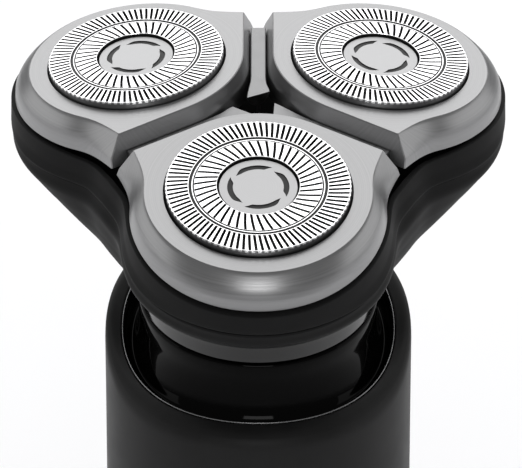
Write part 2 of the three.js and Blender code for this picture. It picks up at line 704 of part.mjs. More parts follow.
// A six-sided plug on the motor's shaft that turns the head's gears.
function driveCoupling() {
  const [bottom, top] = COUPLING;
  const bore = rod(SHAFT_RADIUS + CLEARANCE, bottom - CUT, bottom + COUPLING_BORE);
  return cut(raised(hexagon(COUPLING_CORNER), bottom, top), bore);
}

// A rubber ring in the collar's top hole, around the head's drive socket.
function shaftSeal() {
  return ring(DRIVE_SOCKET_RADIUS + CLEARANCE, SEAL_RADIUS, COLLAR_TOP - COLLAR_PLATE, COLLAR_TOP);
}

function neckMagnetRing() {
  const top = COLLAR_TOP - COLLAR_PLATE - CLEARANCE;
  return ring(...MAGNET, top - MAGNET_HEIGHT, top);
}

function buildMotor() {
  place(head, "motor_can", motorCan(), STEEL);
  place(head, "motor_end_cap", motorEndCap(), GREY_PLASTIC);
  place(head, "motor_bracket", motorBracket(), GREY_PLASTIC);
  place(head, "motor_screw_1", motorScrew(1), STEEL);
  place(head, "motor_screw_2", motorScrew(-1), STEEL);
  place(head, "motor_rotor", motorRotor(), DARK_STEEL);
  place(head, "drive_coupling", driveCoupling(), WHITE_PLASTIC);
  place(head, "shaft_seal", shaftSeal(), RUBBER);
  place(head, "neck_magnet_ring", neckMagnetRing(), STEEL);
}

// ---- Head housing ----

// The lower half of the housing: a funnel from the lobes down to the round neck.
function headBase() {
  const outer = FUNNEL.map(([depth, reach]) => [reach, -depth]).reverse();
  const inner = FUNNEL.slice(0, -1).map(([depth, reach]) => [reach - HOUSING_WALL, -depth]);
  const floor = HEAD_FLOOR - HEAD_BOTTOM;
  const floorPoints = [[HEAD_BOTTOM_RADIUS - HOUSING_WALL, floor], [SEAL_RADIUS, floor]];
  return lobed(turned([[SEAL_RADIUS, -HEAD_BOTTOM], ...outer, ...inner, ...floorPoints], LOBED_SIDES));
}

// The upper half: a floor over the gears, an edge around the petals and two lugs for each hinge pin.
function headDeck() {
  const [floorTop, floorBottom] = DECK_FLOOR;
  const inset = LOBE_REACH - HOUSING_WALL - 3 * CLEARANCE; // the floor lies within the lower half's wall
  const wall = [[LOBE_REACH, -DECK_SKIRT], [LOBE_REACH, -DECK_TOP]];
  const outside = [[0, -floorBottom], [inset, -floorBottom], [inset, -DECK_SKIRT], ...wall];
  const cup = CUP.map(([thickness, depth]) => [LOBE_REACH - thickness, -depth]).reverse();
  const inside = [...cup, [0, -floorTop]];
  const dipped = warped(turned([...outside, ...inside], LOBED_SIDES), (x, y, z) => {
    const share = smoothstep(...DIP_ANGLES, Math.abs(angleInLobe(x, y)));
    return [x, y, z > -DECK_TOP - LAP ? z - WAIST_DIP * share : z];
  });
  const lugs = [];
  const holes = [];
  for (const index of lobeIndexes) {
    const matrix = petalMatrix(index);
    const spindleHole = rod(DECK_HOLE, -floorBottom - LEAN_ROOM, -floorTop + LEAN_ROOM);
    const pinHole = hingeBar(PIN_RADIUS + CLEARANCE, PIN_HALF_LENGTH + CUT);
    holes.push(spindleHole.applyMatrix4(matrix), pinHole.applyMatrix4(matrix));
    for (const side of [-1, 1]) {
      const lug = hingeLug(side * LUG_OFFSET, LUG_HALF_WIDTH, LUG_TOP, -LUG_BOTTOM);
      lugs.push(lug.applyMatrix4(matrix));
    }
  }
  return cut(joined(lobed(dipped), ...lugs), ...holes);
}

// A bar along a petal's hinge axis, in the petal frame.
function hingeBar(radius, halfLength) {
  const bar = rod(radius, -halfLength, halfLength).rotateY(Math.PI / 2);
  return bar.translate(0, HINGE_OFFSET, -HINGE_DEPTH);
}

// A block that holds the hinge pin, in the petal frame.
function hingeLug(middle, halfWidth, top, bottom) {
  const inside = HINGE_OFFSET - LUG_REACH;
  const outside = HINGE_OFFSET + LUG_REACH;
  return block([middle - halfWidth, inside, bottom], [middle + halfWidth, outside, top]);
}

// The plate under the gears, with a hole for each gear's hub and one for the sun gear.
function gearCover() {
  const outline = polygon(1, LOBED_SIDES).map(([x, y]) => {
    const reach = housingReach(angleInLobe(x, y)) * COVER_SCALE;
    return [x * reach, y * reach];
  });
  const hubs = lobeIndexes.map((index) => [...polar(GEAR_OFFSET, lobeAngle(index)), HUB_RADIUS + CLEARANCE]);
  return raised(outline, ...COVER, [...hubs, [0, 0, SUN_SHAFT_RADIUS + CLEARANCE]]);
}

// A section drawn across an arm and carried outwards along it.
function armBar(section, inner, outer) {
  const across = new THREE.Vector3(0, 1, 0);
  const up = new THREE.Vector3(0, 0, 1);
  const along = new THREE.Vector3(1, 0, 0);
  const basis = new THREE.Matrix4().makeBasis(across, up, along);
  return raised(section, inner, outer).applyMatrix4(basis);
}

// A section that narrows from half a width at the top to half a width at the bottom.
function taper(topHalf, top, bottomHalf, bottom) {
  return [[topHalf, top], [-topHalf, top], [-bottomHalf, bottom], [bottomHalf, bottom]];
}

// A three-armed spider that fills the gaps between the petals. Its arms narrow downwards like the gaps do.
function centreSpider() {
  const halfGap = halfGapAt(SPIDER_DEPTH) - CLEARANCE;
  const [, wedgeBottom] = BAND;
  const bottom = CLEARANCE - DECK_FLOOR[0];
  const wedge = taper(halfGap, -SPIDER_DEPTH, SPIDER_WEB, -wedgeBottom);
  const web = taper(SPIDER_WEB, SPIDER_LAP - wedgeBottom, SPIDER_WEB, bottom);
  const arm = joined(armBar(wedge, ...SPIDER_REACH), armBar(web, 0, WEB_REACH));
  const arms = lobeIndexes.map((index) => arm.clone().rotateZ(lobeAngle(index) + TURN / LOBES / 2));
  const spider = joined(...arms, rod(SPIDER_POST, bottom, -wedgeBottom));
  return warped(spider, (x, y, z) => {
    const outwards = Math.hypot(x, y) * Math.cos(TURN / LOBES / 2) - CUTTER_OFFSET;
    return [x, y, z - outwards * Math.tan(CUTTER_TILT)];
  });
}

function headMagnetRing() {
  const bottom = HEAD_FLOOR - HEAD_BOTTOM + CLEARANCE;
  return ring(...MAGNET, bottom, bottom + MAGNET_HEIGHT);
}

function buildHousing() {
  place(head, "head_base", headBase(), MATTE_BLACK);
  place(head, "head_deck", headDeck(), MATTE_BLACK);
  place(head, "gear_cover", gearCover(), GREY_PLASTIC);
  place(head, "centre_spider", centreSpider(), SATIN_METAL);
  place(head, "head_magnet_ring", headMagnetRing(), STEEL);
}

// ---- Gears ----

const involute = (angle) => Math.tan(angle) - angle;

// The outline of a gear with its first tooth along x: each flank has a root, a pitch and a tip point.
function gearOutline(teeth) {
  const pitchRadius = (teeth * MODULE) / 2;
  const baseRadius = pitchRadius * Math.cos(PRESSURE_ANGLE);
  const halfPitchTooth = TURN / 4 / teeth - BACKLASH / 2 / pitchRadius;
  const rootRadius = pitchRadius - DEDENDUM * MODULE;
  const tipRadius = pitchRadius + ADDENDUM * MODULE;
  const radii = [rootRadius, pitchRadius, tipRadius];
  const flank = radii.map((radius) => {
    const pressure = Math.acos(Math.min(1, baseRadius / radius));
    return [radius, halfPitchTooth + involute(PRESSURE_ANGLE) - involute(pressure)];
  });
  const tooth = [...flank.map(([radius, half]) => [radius, -half]), ...flank.reverse()];
  const toothPoints = (middle) => tooth.map(([radius, angle]) => polar(radius, middle + angle));
  return Array.from({ length: teeth }, (_, index) => toothPoints((index * TURN) / teeth)).flat();
}

// The small gear in the middle, with a long shaft and a six-sided socket for the motor's coupling.
function sunGear() {
  const [bottom, top] = DRIVE_SOCKET;
  const teeth = raised(gearOutline(SUN_TEETH), ...GEAR);
  const shaft = rod(SUN_SHAFT_RADIUS, top - LAP, GEAR[0] + LAP);
  const socket = rod(DRIVE_SOCKET_RADIUS, bottom, top, ROUND);
  const mouth = raised(hexagon(COUPLING_CORNER + 0.4), bottom - CUT, COUPLING[1] + CLEARANCE);
  return cut(joined(teeth, shaft, socket), mouth);
}

// A large gear with a hollow hub that holds the end of a spindle. It is turned so that its teeth meet
// the sun gear's.
function planetGear(index) {
  const direction = lobeAngle(index);
  const turn = Math.PI + direction * (1 + SUN_TEETH / PLANET_TEETH) - TURN / PLANET_TEETH / 2;
  const teeth = raised(gearOutline(PLANET_TEETH), ...GEAR).rotateZ(turn);
  const hub = rod(HUB_RADIUS, HUB_BOTTOM, GEAR[1]);
  const bore = rod(HUB_BORE, HUB_BOTTOM + HUB_FLOOR, GEAR[1] + CUT);
  const drain = rod(HUB_DRAIN, HUB_BOTTOM - CUT, HUB_BOTTOM + CUT);
  return cut(joined(teeth, hub), bore, drain).translate(...polar(GEAR_OFFSET, direction), 0);
}

class Helix extends THREE.Curve {
  getPoint(along, target = new THREE.Vector3()) {
    const [x, y] = polar(SPRING_RADIUS, along * SPRING_TURNS * TURN);
    const bottom = HUB_BOTTOM + HUB_FLOOR + 2 * SPRING_WIRE;
    return target.set(x, y, bottom + along * SPRING_HEIGHT);
  }
}

// The coil spring in a hub, under the end of the spindle.
function spindleSpring(index) {
  const corners = polygon(SPRING_WIRE, WIRE_SIDES).map(([x, y]) => new THREE.Vector2(x, y));
  const options = { steps: SPRING_TURNS * STEPS_PER_TURN, extrudePath: new Helix() };
  const coil = new THREE.ExtrudeGeometry(new THREE.Shape(corners), options);
  return coil.translate(...polar(GEAR_OFFSET, lobeAngle(index)), 0);
}

function buildGears() {
  place(head, "sun_gear", sunGear(), WHITE_PLASTIC);
  for (const index of lobeIndexes) {
    place(head, `planet_gear_${index + 1}`, planetGear(index), WHITE_PLASTIC);
    place(head, `spindle_spring_${index + 1}`, spindleSpring(index), STEEL);
  }
}

// ---- Petals ----

// The metal shell: a flat plate with a round hole, a bevel, and a lower band.
function petalShell() {
  const [shoulderRadius, shoulderDepth] = SHOULDER;
  const [bandRadius, bandDepth] = BAND;
  const plateBottom = PLATE_DEPTH + SKIN;
  return petalled(turned([
    [bandRadius, -bandDepth],
    [shoulderRadius, -shoulderDepth],
    [PLATE_RADIUS, -PLATE_DEPTH],
    [PLATE_HOLE, -PLATE_DEPTH],
    [PLATE_HOLE, -plateBottom],
    [PLATE_RADIUS - CLEARANCE, -plateBottom],
    [bandRadius - SKIN, -bandDepth],
  ], FINE_ROUND));
}

// The plastic ring under the plate, with two knuckles for the hinge pin.
function petalCarrier() {
  const [top, bottom] = CARRIER_DEPTH;
  const [inner] = CARRIER;
  const side = BRIDGE_HALF_WIDTH;
  const knuckles = [-1, 1].map((direction) =>
    hingeLug(direction * KNUCKLE_OFFSET, KNUCKLE_HALF_WIDTH, -top - LAP / 2, -HINGE_DEPTH - LUG_REACH),
  );
  const bridge = block([-side, inner, -bottom], [side, HINGE_OFFSET + LUG_REACH, -top]);
  const solid = joined(ring(...CARRIER, -bottom, -top), bridge, ...knuckles);
  const opening = rod(inner, -bottom - CUT, CUT - top, ROUND);
  return cut(solid, opening, hingeBar(PIN_RADIUS + CLEARANCE, side + CUT));
}

// The clip ring that keeps the cutters in the petal, with two finger tabs.
function cutterRetainer() {
  const [top, bottom] = RETAINER_DEPTH;
  const [length, width, height] = TAB_SIZE;
  const tab = new THREE.BoxGeometry(length, width, height).translate(TAB_OFFSET, 0, -bottom);
  return joined(ring(...RETAINER, -bottom, -top), tab, tab.clone().rotateZ(Math.PI));
}

// ---- Cutters ----

// The outer cutter: a thin face with a groove, a skirt, and a flange that stays under the plate.
function cutterCap() {
  const [flangeTop, flangeBottom] = FLANGE_DEPTH;
  const seat = DISC_RADIUS + CLEARANCE;
  const seatDepth = DISC_THICKNESS + CLEARANCE - DISC_TOP;
  const boss = seat + CAP_FACE;
  const bore = SKIRT_RADIUS - SKIRT_WALL;
  return turned([
    [0, -seatDepth - CAP_FACE],
    [boss, -seatDepth - CAP_FACE],
    [boss, -CAP_FACE],
    [bore, -CAP_FACE],
    [bore, -flangeBottom],
    [FLANGE_RADIUS, -flangeBottom],
    [FLANGE_RADIUS, -flangeTop],
    [SKIRT_RADIUS, -flangeTop],
    [SKIRT_RADIUS, CAP_EDGE[1]],
    [CAP_EDGE[0], 0],
    [seat, 0],
    [seat, -seatDepth],
    [0, -seatDepth],
  ], CAP_SIDES);
}

// The small trim disc in the middle of the cutter's face.
function capDisc() {
  const bottom = DISC_TOP - DISC_THICKNESS;
  const rim = [[DISC_RADIUS, DISC_TOP - DISC_EDGE], [DISC_RADIUS - 2 * DISC_EDGE, DISC_TOP]];
  return turned([[0, bottom], [DISC_RADIUS, bottom], ...rim, [0, DISC_TOP]]);
}

// The spinning cutter: a disc with upright blades and a hub for the spindle.
function innerCutter() {
  const bore = SPINDLE_RADIUS + CLEARANCE;
  const [top, bottom] = BLADE_DISC_DEPTH;
  const hub = ring(bore, BLADE_HUB_RADIUS, -BLADE_HUB_DEPTH, -top);
  const disc = ring(bore, BLADE_DISC_RADIUS, -bottom, -top);
  const [inner, outer] = BLADE_REACH;
  const side = BLADE_THICKNESS / 2;
  const blade = block([inner, -side, -top - CLEARANCE], [outer, side, -CAP_FACE - 0.35]);
  const turns = polygon(1, BLADES).map(([x, y]) => Math.atan2(y, x));
  return joined(disc, hub, ...turns.map((angle) => blade.clone().rotateZ(angle)));
}

// The spindle between a gear and a spinning cutter. Its lower end is a ball, so that it can lean.
function driveSpindle() {
  const [ballX, ballY] = polar(BALL_RADIUS, TURN / 8);
  const [collarTop, collarBottom] = SPINDLE_COLLAR_DEPTH;
  return turned([
    [0, -BALL_DEPTH - BALL_RADIUS],
    [ballX, -BALL_DEPTH - ballY],
    [BALL_RADIUS, -BALL_DEPTH],
    [SPINDLE_NECK_RADIUS, 1 - BALL_DEPTH],
    [SPINDLE_NECK_RADIUS, -collarBottom - LAP],
    [SPINDLE_COLLAR_RADIUS, -collarBottom],
    [SPINDLE_COLLAR_RADIUS, -collarTop],
    [SPINDLE_RADIUS, -collarTop],
    [SPINDLE_RADIUS, -SPINDLE_TOP],
    [0, -SPINDLE_TOP],
  ], SMALL_ROUND);
}

function buildPetal(index) {
  const frame = petalFrames[index];
  const number = index + 1;
  place(frame, `petal_${number}`, petalShell(), SATIN_METAL);
  place(frame, `petal_carrier_${number}`, petalCarrier(), MATTE_BLACK);
  place(frame, `cutter_retainer_${number}`, cutterRetainer(), MATTE_BLACK);
  place(frame, `hinge_pin_${number}`, hingeBar(PIN_RADIUS, PIN_HALF_LENGTH), STEEL);
  place(frame, `cutter_cap_${number}`, cutterCap(), STEEL);
  place(frame, `cap_disc_${number}`, capDisc(), SATIN_METAL);
  place(frame, `inner_cutter_${number}`, innerCutter(), STEEL);
  place(frame, `drive_spindle_${number}`, driveSpindle(), WHITE_PLASTIC);
}

// ---- Assembly ----

buildHandle();
buildMotor();
buildHousing();
buildGears();
lobeIndexes.forEach(buildPetal);

export default object;
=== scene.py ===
"""The visual model of a cordless rotary shaver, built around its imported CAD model.

Lengths are in millimetres until a mesh is made, and +Z is up. There are three kinds of frame: the world's, the
head's, whose z runs along its axis, and one for each petal, whose origin is the middle of the cutter's face,
with y pointing outwards and z out of the cutter. Depths in the last two are measured down from the face.
"""

import json
import math

import bmesh
import bpy
import numpy as np
from mathutils import Matrix, Vector


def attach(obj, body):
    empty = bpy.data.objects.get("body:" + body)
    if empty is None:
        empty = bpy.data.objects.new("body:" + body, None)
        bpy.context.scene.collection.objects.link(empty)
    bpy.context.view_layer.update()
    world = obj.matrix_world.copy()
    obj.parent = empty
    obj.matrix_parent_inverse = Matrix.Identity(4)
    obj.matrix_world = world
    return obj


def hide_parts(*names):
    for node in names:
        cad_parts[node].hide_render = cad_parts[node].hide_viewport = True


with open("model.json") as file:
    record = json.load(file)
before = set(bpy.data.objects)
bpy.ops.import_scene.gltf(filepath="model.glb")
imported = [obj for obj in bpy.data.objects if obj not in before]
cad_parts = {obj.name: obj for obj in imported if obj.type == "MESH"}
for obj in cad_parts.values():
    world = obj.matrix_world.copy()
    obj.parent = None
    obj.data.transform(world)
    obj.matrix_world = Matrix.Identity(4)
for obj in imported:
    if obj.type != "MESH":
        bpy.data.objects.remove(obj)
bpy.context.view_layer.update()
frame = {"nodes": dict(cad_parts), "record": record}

MM = 0.001
TURN = 2 * math.pi
OWN_PLACE = "own_place"  # the attribute that holds each point's place in its piece's own frame
CREASE = 32  # an edge sharper than this many degrees is drawn sharp
WELD = 2e-7  # points this near to each other are joined, in metres
SLIVER = 1e-7  # and edges this short are dissolved

# Handle. Its rim's height above NECK_HEIGHT is a curve in y, with a different bend in front and behind.
NECK_HEIGHT = 118
BASE_RADIUS = 22
TOP_RADIUS = 20.9
WALL = 1.8
BASE_HEIGHT = 3.2
BASE_PLUG_TOP = 8
BASE_FLOOR = 2.2
GAP = 0.3  # between the base and the handle, and between the head and the neck
BEND = (NECK_HEIGHT - 30, NECK_HEIGHT - 8)  # where the handle starts to follow its rim, and fully does
RIM_MID = -0.5
RIM_SLOPE = 0.5
RIM_FRONT_CURVE = 0.011
RIM_BACK_CURVE = -0.008
RIM_RADIUS = 18.6
RING_WIDTH = 0.17
RING_PROUD = 0.1
CHAMFER_DROP = 1.9
CHAMFER_LIFT = 2.4  # how much less it drops behind
CHAMFER_TURN = (-14, 4)  # y between which it changes
FRONT_CUT = (-30, -10)  # y from which to which a hole in the front is cut
BACK_CUT = (10, 30)
BUTTON_HEIGHT = 78
BUTTON_RADIUS = 6.4
BUTTON_FRONT = 21.47  # from the handle's axis, as is the end of the stem
BUTTON_STEM_END = 13.6
BUTTON_STEM_RADIUS = 2
BUTTON_THICKNESS = 4
BEZEL_RADIUS = 8.4
WINDOW_HEIGHT = 58
WINDOW_SIZE = (9, 2.6)
WINDOW_CORNER = 1.25
LAMP_PLACES = (-2.6, 0, 2.6)
LAMP_RADIUS = 0.45
SOCKET_HEIGHT = 15
SOCKET_SIZE = (11, 5.6)
SOCKET_MOUTH = (9, 3.2)
SOCKET_INSET = 0.8
SOCKET_LENGTH = 7
MOUTH_DEPTH = 6
PIN_PLACES = (-1.9, 1.9)
PIN_RADIUS = 0.6

# Head. A dip lowers and a pull narrows the housing between two angles from the middle of a lobe.
LEAN = math.radians(15)
NECK_TO_CUTTERS = 38
LOBES = 3
CUTTER_OFFSET = 18.5
CUTTER_TILT = math.radians(6.2)
LOBE_RADIUS = 16.95
HOUSING_REACH = CUTTER_OFFSET + LOBE_RADIUS
WAIST_RADIUS = 22.8
WAIST_SOFTNESS = 1.5
HOUSING_SIDES = 288
DECK_TOP = 5.2
DECK_FLOOR = 9
DECK_BOTTOM = 9.9
# inset, depth and rounding of the corners of the cup inside the deck
CUP = [(1.2, DECK_TOP, 0.15), (1.45, 6.8, 0.5), (3.25, 8.2, 0.4), (3.85, DECK_FLOOR)]
DECK_HOLE = 2.8
SEAM = (8.1, 8.22)  # lower edge of the deck's wall, and upper edge of the base
SEAM_DIP = 1.2
SEAM_PULL = 0.4
SEAM_ANGLES = (math.radians(3), math.radians(38))
FLANK_DIP = 0.3  # of the deck's top, which leaves room for a petal to tilt
FLANK_ANGLES = (math.radians(3), math.radians(36))
WAIST_DIP = 0.55  # as well, further round
WAIST_ANGLES = (math.radians(30), math.radians(56))
LOBED_DEPTH = 7.8  # the lobes fade from here
ROUND_DEPTH = 29.5  # to here
HEAD_BOTTOM = 31.5
GLOSS_TOP = 28.3  # depth from which the head's lower end is glossy like the neck
HEAD_FLOOR = 1.4
SOCKET_HOLE = 6.6
HOUSING_WALL = 1.6
FUNNEL = [  # depth and radius
    (9, 35.25), (10.5, 34.9), (12.5, 33.2), (15, 30.75), (18, 27), (21, 22.6), (24.5, 18.8),
    (GLOSS_TOP, 16.45),
]

# Neck, with heights in the head's frame
NECK_RADIUS = 16.2
NECK_BORE = 14.4
COLLAR_TOP = -HEAD_BOTTOM - GAP
COLLAR_PLATE = 2
COLLAR_LENGTH = 16
COLLAR_HOLE = 6.9
DISH_TOP = 120.3  # height of the dish's upper end in the world, at the handle's axis
DISH_SLOPE = 0.16
DISH_BEND = 3.2  # how far the dish keeps to the neck's line
DISH_FOOT = (0.95, 2.1)  # how far inside the skirt and below the rim it turns up
LIP_DROP = 0.5  # below the rim
LIP_EDGE = 0.12
SKIRT_RADIUS = 18.1
SKIRT_HEIGHT = 6

# Petals. Angles are in degrees from straight out.
PLATE_DEPTH = 0.9
PLATE_RADIUS = 14.2
PLATE_HOLE = 11.74
PLATE_ROUNDING = 0.1
SHOULDER_RADIUS, SHOULDER_DEPTH = 16.6, 3.7
BAND_RADIUS, BAND_DEPTH = 16.85, 5
SKIN = 1
BEVEL_BULGE = 0.28
SIDE_PULL = 0.8  # how much narrower a petal is on each side than in front
PULL_ANGLES = (5, 75)
GAP_TOP = 1.9  # half the gap between two petals, at the plate
GAP_LEAN = 0.33  # how much of that goes for each millimetre of depth
WALL_ANGLE = 150  # at which the wall of the gap is square to the radius
FLARE_ANGLE = 90
FLARE_POWER = 2.4
CORNER_ANGLE = 114.6  # at the plate
CORNER_SHIFT = 3.3  # by how much that angle is less at the shoulder
CORNER_CHAMFER = 0.3  # half the chamfer at the corner
CORNER_STEP = 0.2  # from the corner to the points beside it
CORNER_TRIM = 0.08  # how far the ear stays behind the wall's line

# Spider. Its sizes are half widths, but for the depths and lengths.
SPIDER_START, SPIDER_END = 2.3, 18.6
SPIDER_HALF = 1.0
SPIDER_FLARE = 0.52
SPIDER_SLANT = -0.5
SPIDER_WEB = 0.25
SPIDER_DEPTH = 3.3
SPIDER_WEB_DEPTH = 8.6
SPIDER_EDGE = 0.12

# Cutters
CUTTER_RADIUS = 11.5
CUTTER_EDGE = 0.12
CAP_SKIRT = 11.7
CAP_FLANGE = 12.9
CAP_BOTTOM = -3
SKIRT_BOTTOM = -2.2
OUTER_SLOTS = 90
OUTER_SLOT_WIDTH = 0.37
INNER_SLOT_WIDTH = 0.36
# Each open slot has a floor this far down, coloured near-black as painted shade.
SLOT_DEPTH = 0.5
SLOT_WALL = 0.015  # how far a slot's wall leans
OUTER_SKEW = math.radians(8)
INNER_SKEW = math.radians(15)
GROOVE = (7.92, 8.62)
GROOVE_RIDGE = (8.12, 8.24)
GROOVE_DEPTH = 0.12
RIDGE_TOP = -0.03
SLOT_END = 11.3
SEAT_RADIUS = 5.12
SEAT_DEPTH = 0.95
STEP = 0.02  # how far a nearly upright wall leans
CAP_COLUMNS = 5  # in each sector: four for a slot's edges and floor, and one in the middle of the land
SLOT_COLUMNS = (0, 1, 2)
SLOT_FLOOR_COLUMNS = (1, 2)
# In the cap's looks, steel is the lit copy of its metal and side a darker copy that paints shade on its edge
# and skirt.
CAP_LOOKS = {"steel": "cutter_steel", "dark": "slot_dark", "side": "cutter_side", "groove": "disc_arcs"}

# Discs
DISC_RADIUS = 4.95
DISC_TOP = -0.35
DISC_BOTTOM = -0.85
DISC_COLUMNS = 288
DISC_ARCS = 4
ARC_START = math.radians(62)
ARC_SPAN = math.radians(84)
ARC_OUTER = 3.82
ARC_INNER = 3.16
ARC_POINT = 3.36
ARC_DEPTH = 0.12
ARC_FLOOR_ROWS = (4, 5, 6, 7)

# Depth of the fine relief on each kind of surface, in metres
LINE_DEPTH = 0.00002
SCRATCH_DEPTH = 0.00001
GRAIN_DEPTH = 0.00003
RIPPLE_DEPTH = 0.0001


# ---- Shapes ----


def smoothstep(low, high, value):
    share = np.clip((value - low) / (high - low), 0, 1)
    return share * share * (3 - 2 * share)


def lerp(low, high, share):
    return low + (high - low) * share


def even_angles(count):
    return np.arange(count) * TURN / count


def rounded(corners, closed=False, steps=4):
    """A flat profile from corners (radius, height), of which those with a third number are rounded by it."""
    places = [np.array(corner[:2], float) for corner in corners]
    points = []
    for index, corner in enumerate(corners):
        here = places[index]
        inner = closed or 0 < index < len(corners) - 1
        rounding = corner[2] if len(corner) > 2 and inner else 0
        if not rounding:
            points.append(here)
            continue
        before = places[index - 1] - here
        after = places[(index + 1) % len(places)] - here
        start = here + before * min(rounding / np.linalg.norm(before), 0.49)
        end = here + after * min(rounding / np.linalg.norm(after), 0.49)
        for share in np.linspace(0, 1, steps + 1):
            points.append(start * (1 - share) ** 2 + 2 * here * share * (1 - share) + end * share**2)
    return np.array(points)


def smooth_line(knots, steps=6):
    """A smooth line through the knots."""
    knots = np.array(knots, float)
    padded = np.vstack([2 * knots[0] - knots[1], knots, 2 * knots[-1] - knots[-2]])
    points = []
    for index in range(1, len(padded) - 2):
        a, b, c, d = padded[index - 1 : index + 3]
        for t in np.arange(steps) / steps:
            cubic = 2 * a - 5 * b + 4 * c - d + t * (3 * (b - c) + d - a)
            points.append(b + 0.5 * t * (c - a + t * cubic))
    points.append(knots[-1])
    return np.array(points)


def turned(profile, angles):
    """A grid of points, profile by angle, from (radius, height) pairs turned about z."""
    profile = np.asarray(profile, float)
    radius, height = profile[:, :1], profile[:, 1:2]
    around = np.asarray(angles)[None, :]
    flat = np.zeros_like(around)
    return np.stack([radius * np.cos(around), radius * np.sin(around), height + flat], axis=-1)


def transformed(matrix, points):
    table = np.array(matrix)
    return points @ table[:3, :3].T + table[:3, 3]


def grid_faces(rows, columns, loop):
    """The quads of a grid whose columns go all the way round, and whose rows do too where loop is true."""
    faces = []
    for row in range(rows if loop else rows - 1):
        low, high = row * columns, (row + 1) % rows * columns
        for column in range(columns):
            after = (column + 1) % columns
            faces.append((low + column, low + after, high + after, high + column))
    return faces


def clean(mesh):
    shape = bmesh.new()
    shape.from_mesh(mesh)
    bmesh.ops.remove_doubles(shape, verts=shape.verts, dist=WELD)
    bmesh.ops.dissolve_degenerate(shape, edges=shape.edges, dist=SLIVER)
    bmesh.ops.recalc_face_normals(shape, faces=shape.faces)
    shape.to_mesh(mesh)
    shape.free()


def shade(mesh, crease=CREASE):
    mesh.shade_smooth()
    mesh.set_sharp_from_angle(angle=math.radians(crease))


def make_piece(name, points, faces, looks, face_looks=None, matrix=None, crease=CREASE):
    """A mesh object from points in millimetres, placed by a matrix in metres that its vertices take up."""
    mesh = bpy.data.meshes.new(name)
    own_points = np.asarray(points, float).reshape(-1, 3) * MM
    placed = own_points if matrix is None else transformed(matrix, own_points)
    mesh.from_pydata(placed.tolist(), [], faces)
    own_place = mesh.attributes.new(OWN_PLACE, "FLOAT_VECTOR", "POINT")
    own_place.data.foreach_set("vector", own_points.reshape(-1))
    for look in looks:
        mesh.materials.append(look)
    if face_looks is not None:
        mesh.polygons.foreach_set("material_index", face_looks)
    clean(mesh)
    shade(mesh, crease)
    piece = bpy.data.objects.new(name, mesh)
    bpy.context.scene.collection.objects.link(piece)
    return piece


def turned_piece(name, profile, look, sides=96, matrix=None, warp=None, loop=True):
    """A piece turned from a profile, which a warp may then bend."""
    grid = turned(profile, even_angles(sides))
    if warp is not None:
        grid = warp(grid)
    return make_piece(name, grid, grid_faces(*grid.shape[:2], loop), [look], matrix=matrix)


def carved(piece, cutters):
    """Cuts the cutters' shapes out of a piece, and removes them."""
    for cutter in cutters:
        modifier = piece.modifiers.new("cut", "BOOLEAN")
        modifier.object = cutter
        modifier.solver = "EXACT"
    bpy.context.view_layer.update()
    view = bpy.context.evaluated_depsgraph_get()
    mesh = bpy.data.meshes.new_from_object(piece.evaluated_get(view))
    piece.modifiers.clear()
    piece.data = mesh
    for cutter in cutters:
        bpy.data.objects.remove(cutter)
    shade(mesh)
    return piece


def assign(piece, body, nodes=()):
    """Puts a piece on its body, in place of the CAD nodes that it stands for."""
    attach(piece, body)
    if nodes:
        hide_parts(*nodes)
    return piece


# ---- Frames ----


def lobe_angle(index):
    return -TURN / 4 + index * TURN / LOBES


HEAD = Matrix.Translation(
    Vector((0, -NECK_TO_CUTTERS * math.sin(LEAN), NECK_HEIGHT + NECK_TO_CUTTERS * math.cos(LEAN)))
) @ Matrix.Rotation(LEAN, 4, "X")


def petal_in_head(index):
    turn = Matrix.Rotation(lobe_angle(index) - TURN / 4, 4, "Z")
    return turn @ Matrix.Translation((0, CUTTER_OFFSET, 0)) @ Matrix.Rotation(-CUTTER_TILT, 4, "X")


def in_metres(matrix):
    scaled = matrix.copy()
    scaled.translation = matrix.translation * MM
    return scaled


def facing_front(x, y, height):
    """A frame on the handle, in metres, whose z points to the front."""
    return in_metres(Matrix.Translation((x, y, height)) @ Matrix.Rotation(TURN / 4, 4, "X"))


def facing_back(x, y, height):
    return in_metres(Matrix.Translation((x, y, height)) @ Matrix.Rotation(-TURN / 4, 4, "X"))


HEAD_METRES = in_metres(HEAD)
PETALS_METRES = [in_metres(HEAD @ petal_in_head(index)) for index in range(LOBES)]


# ---- Materials ----


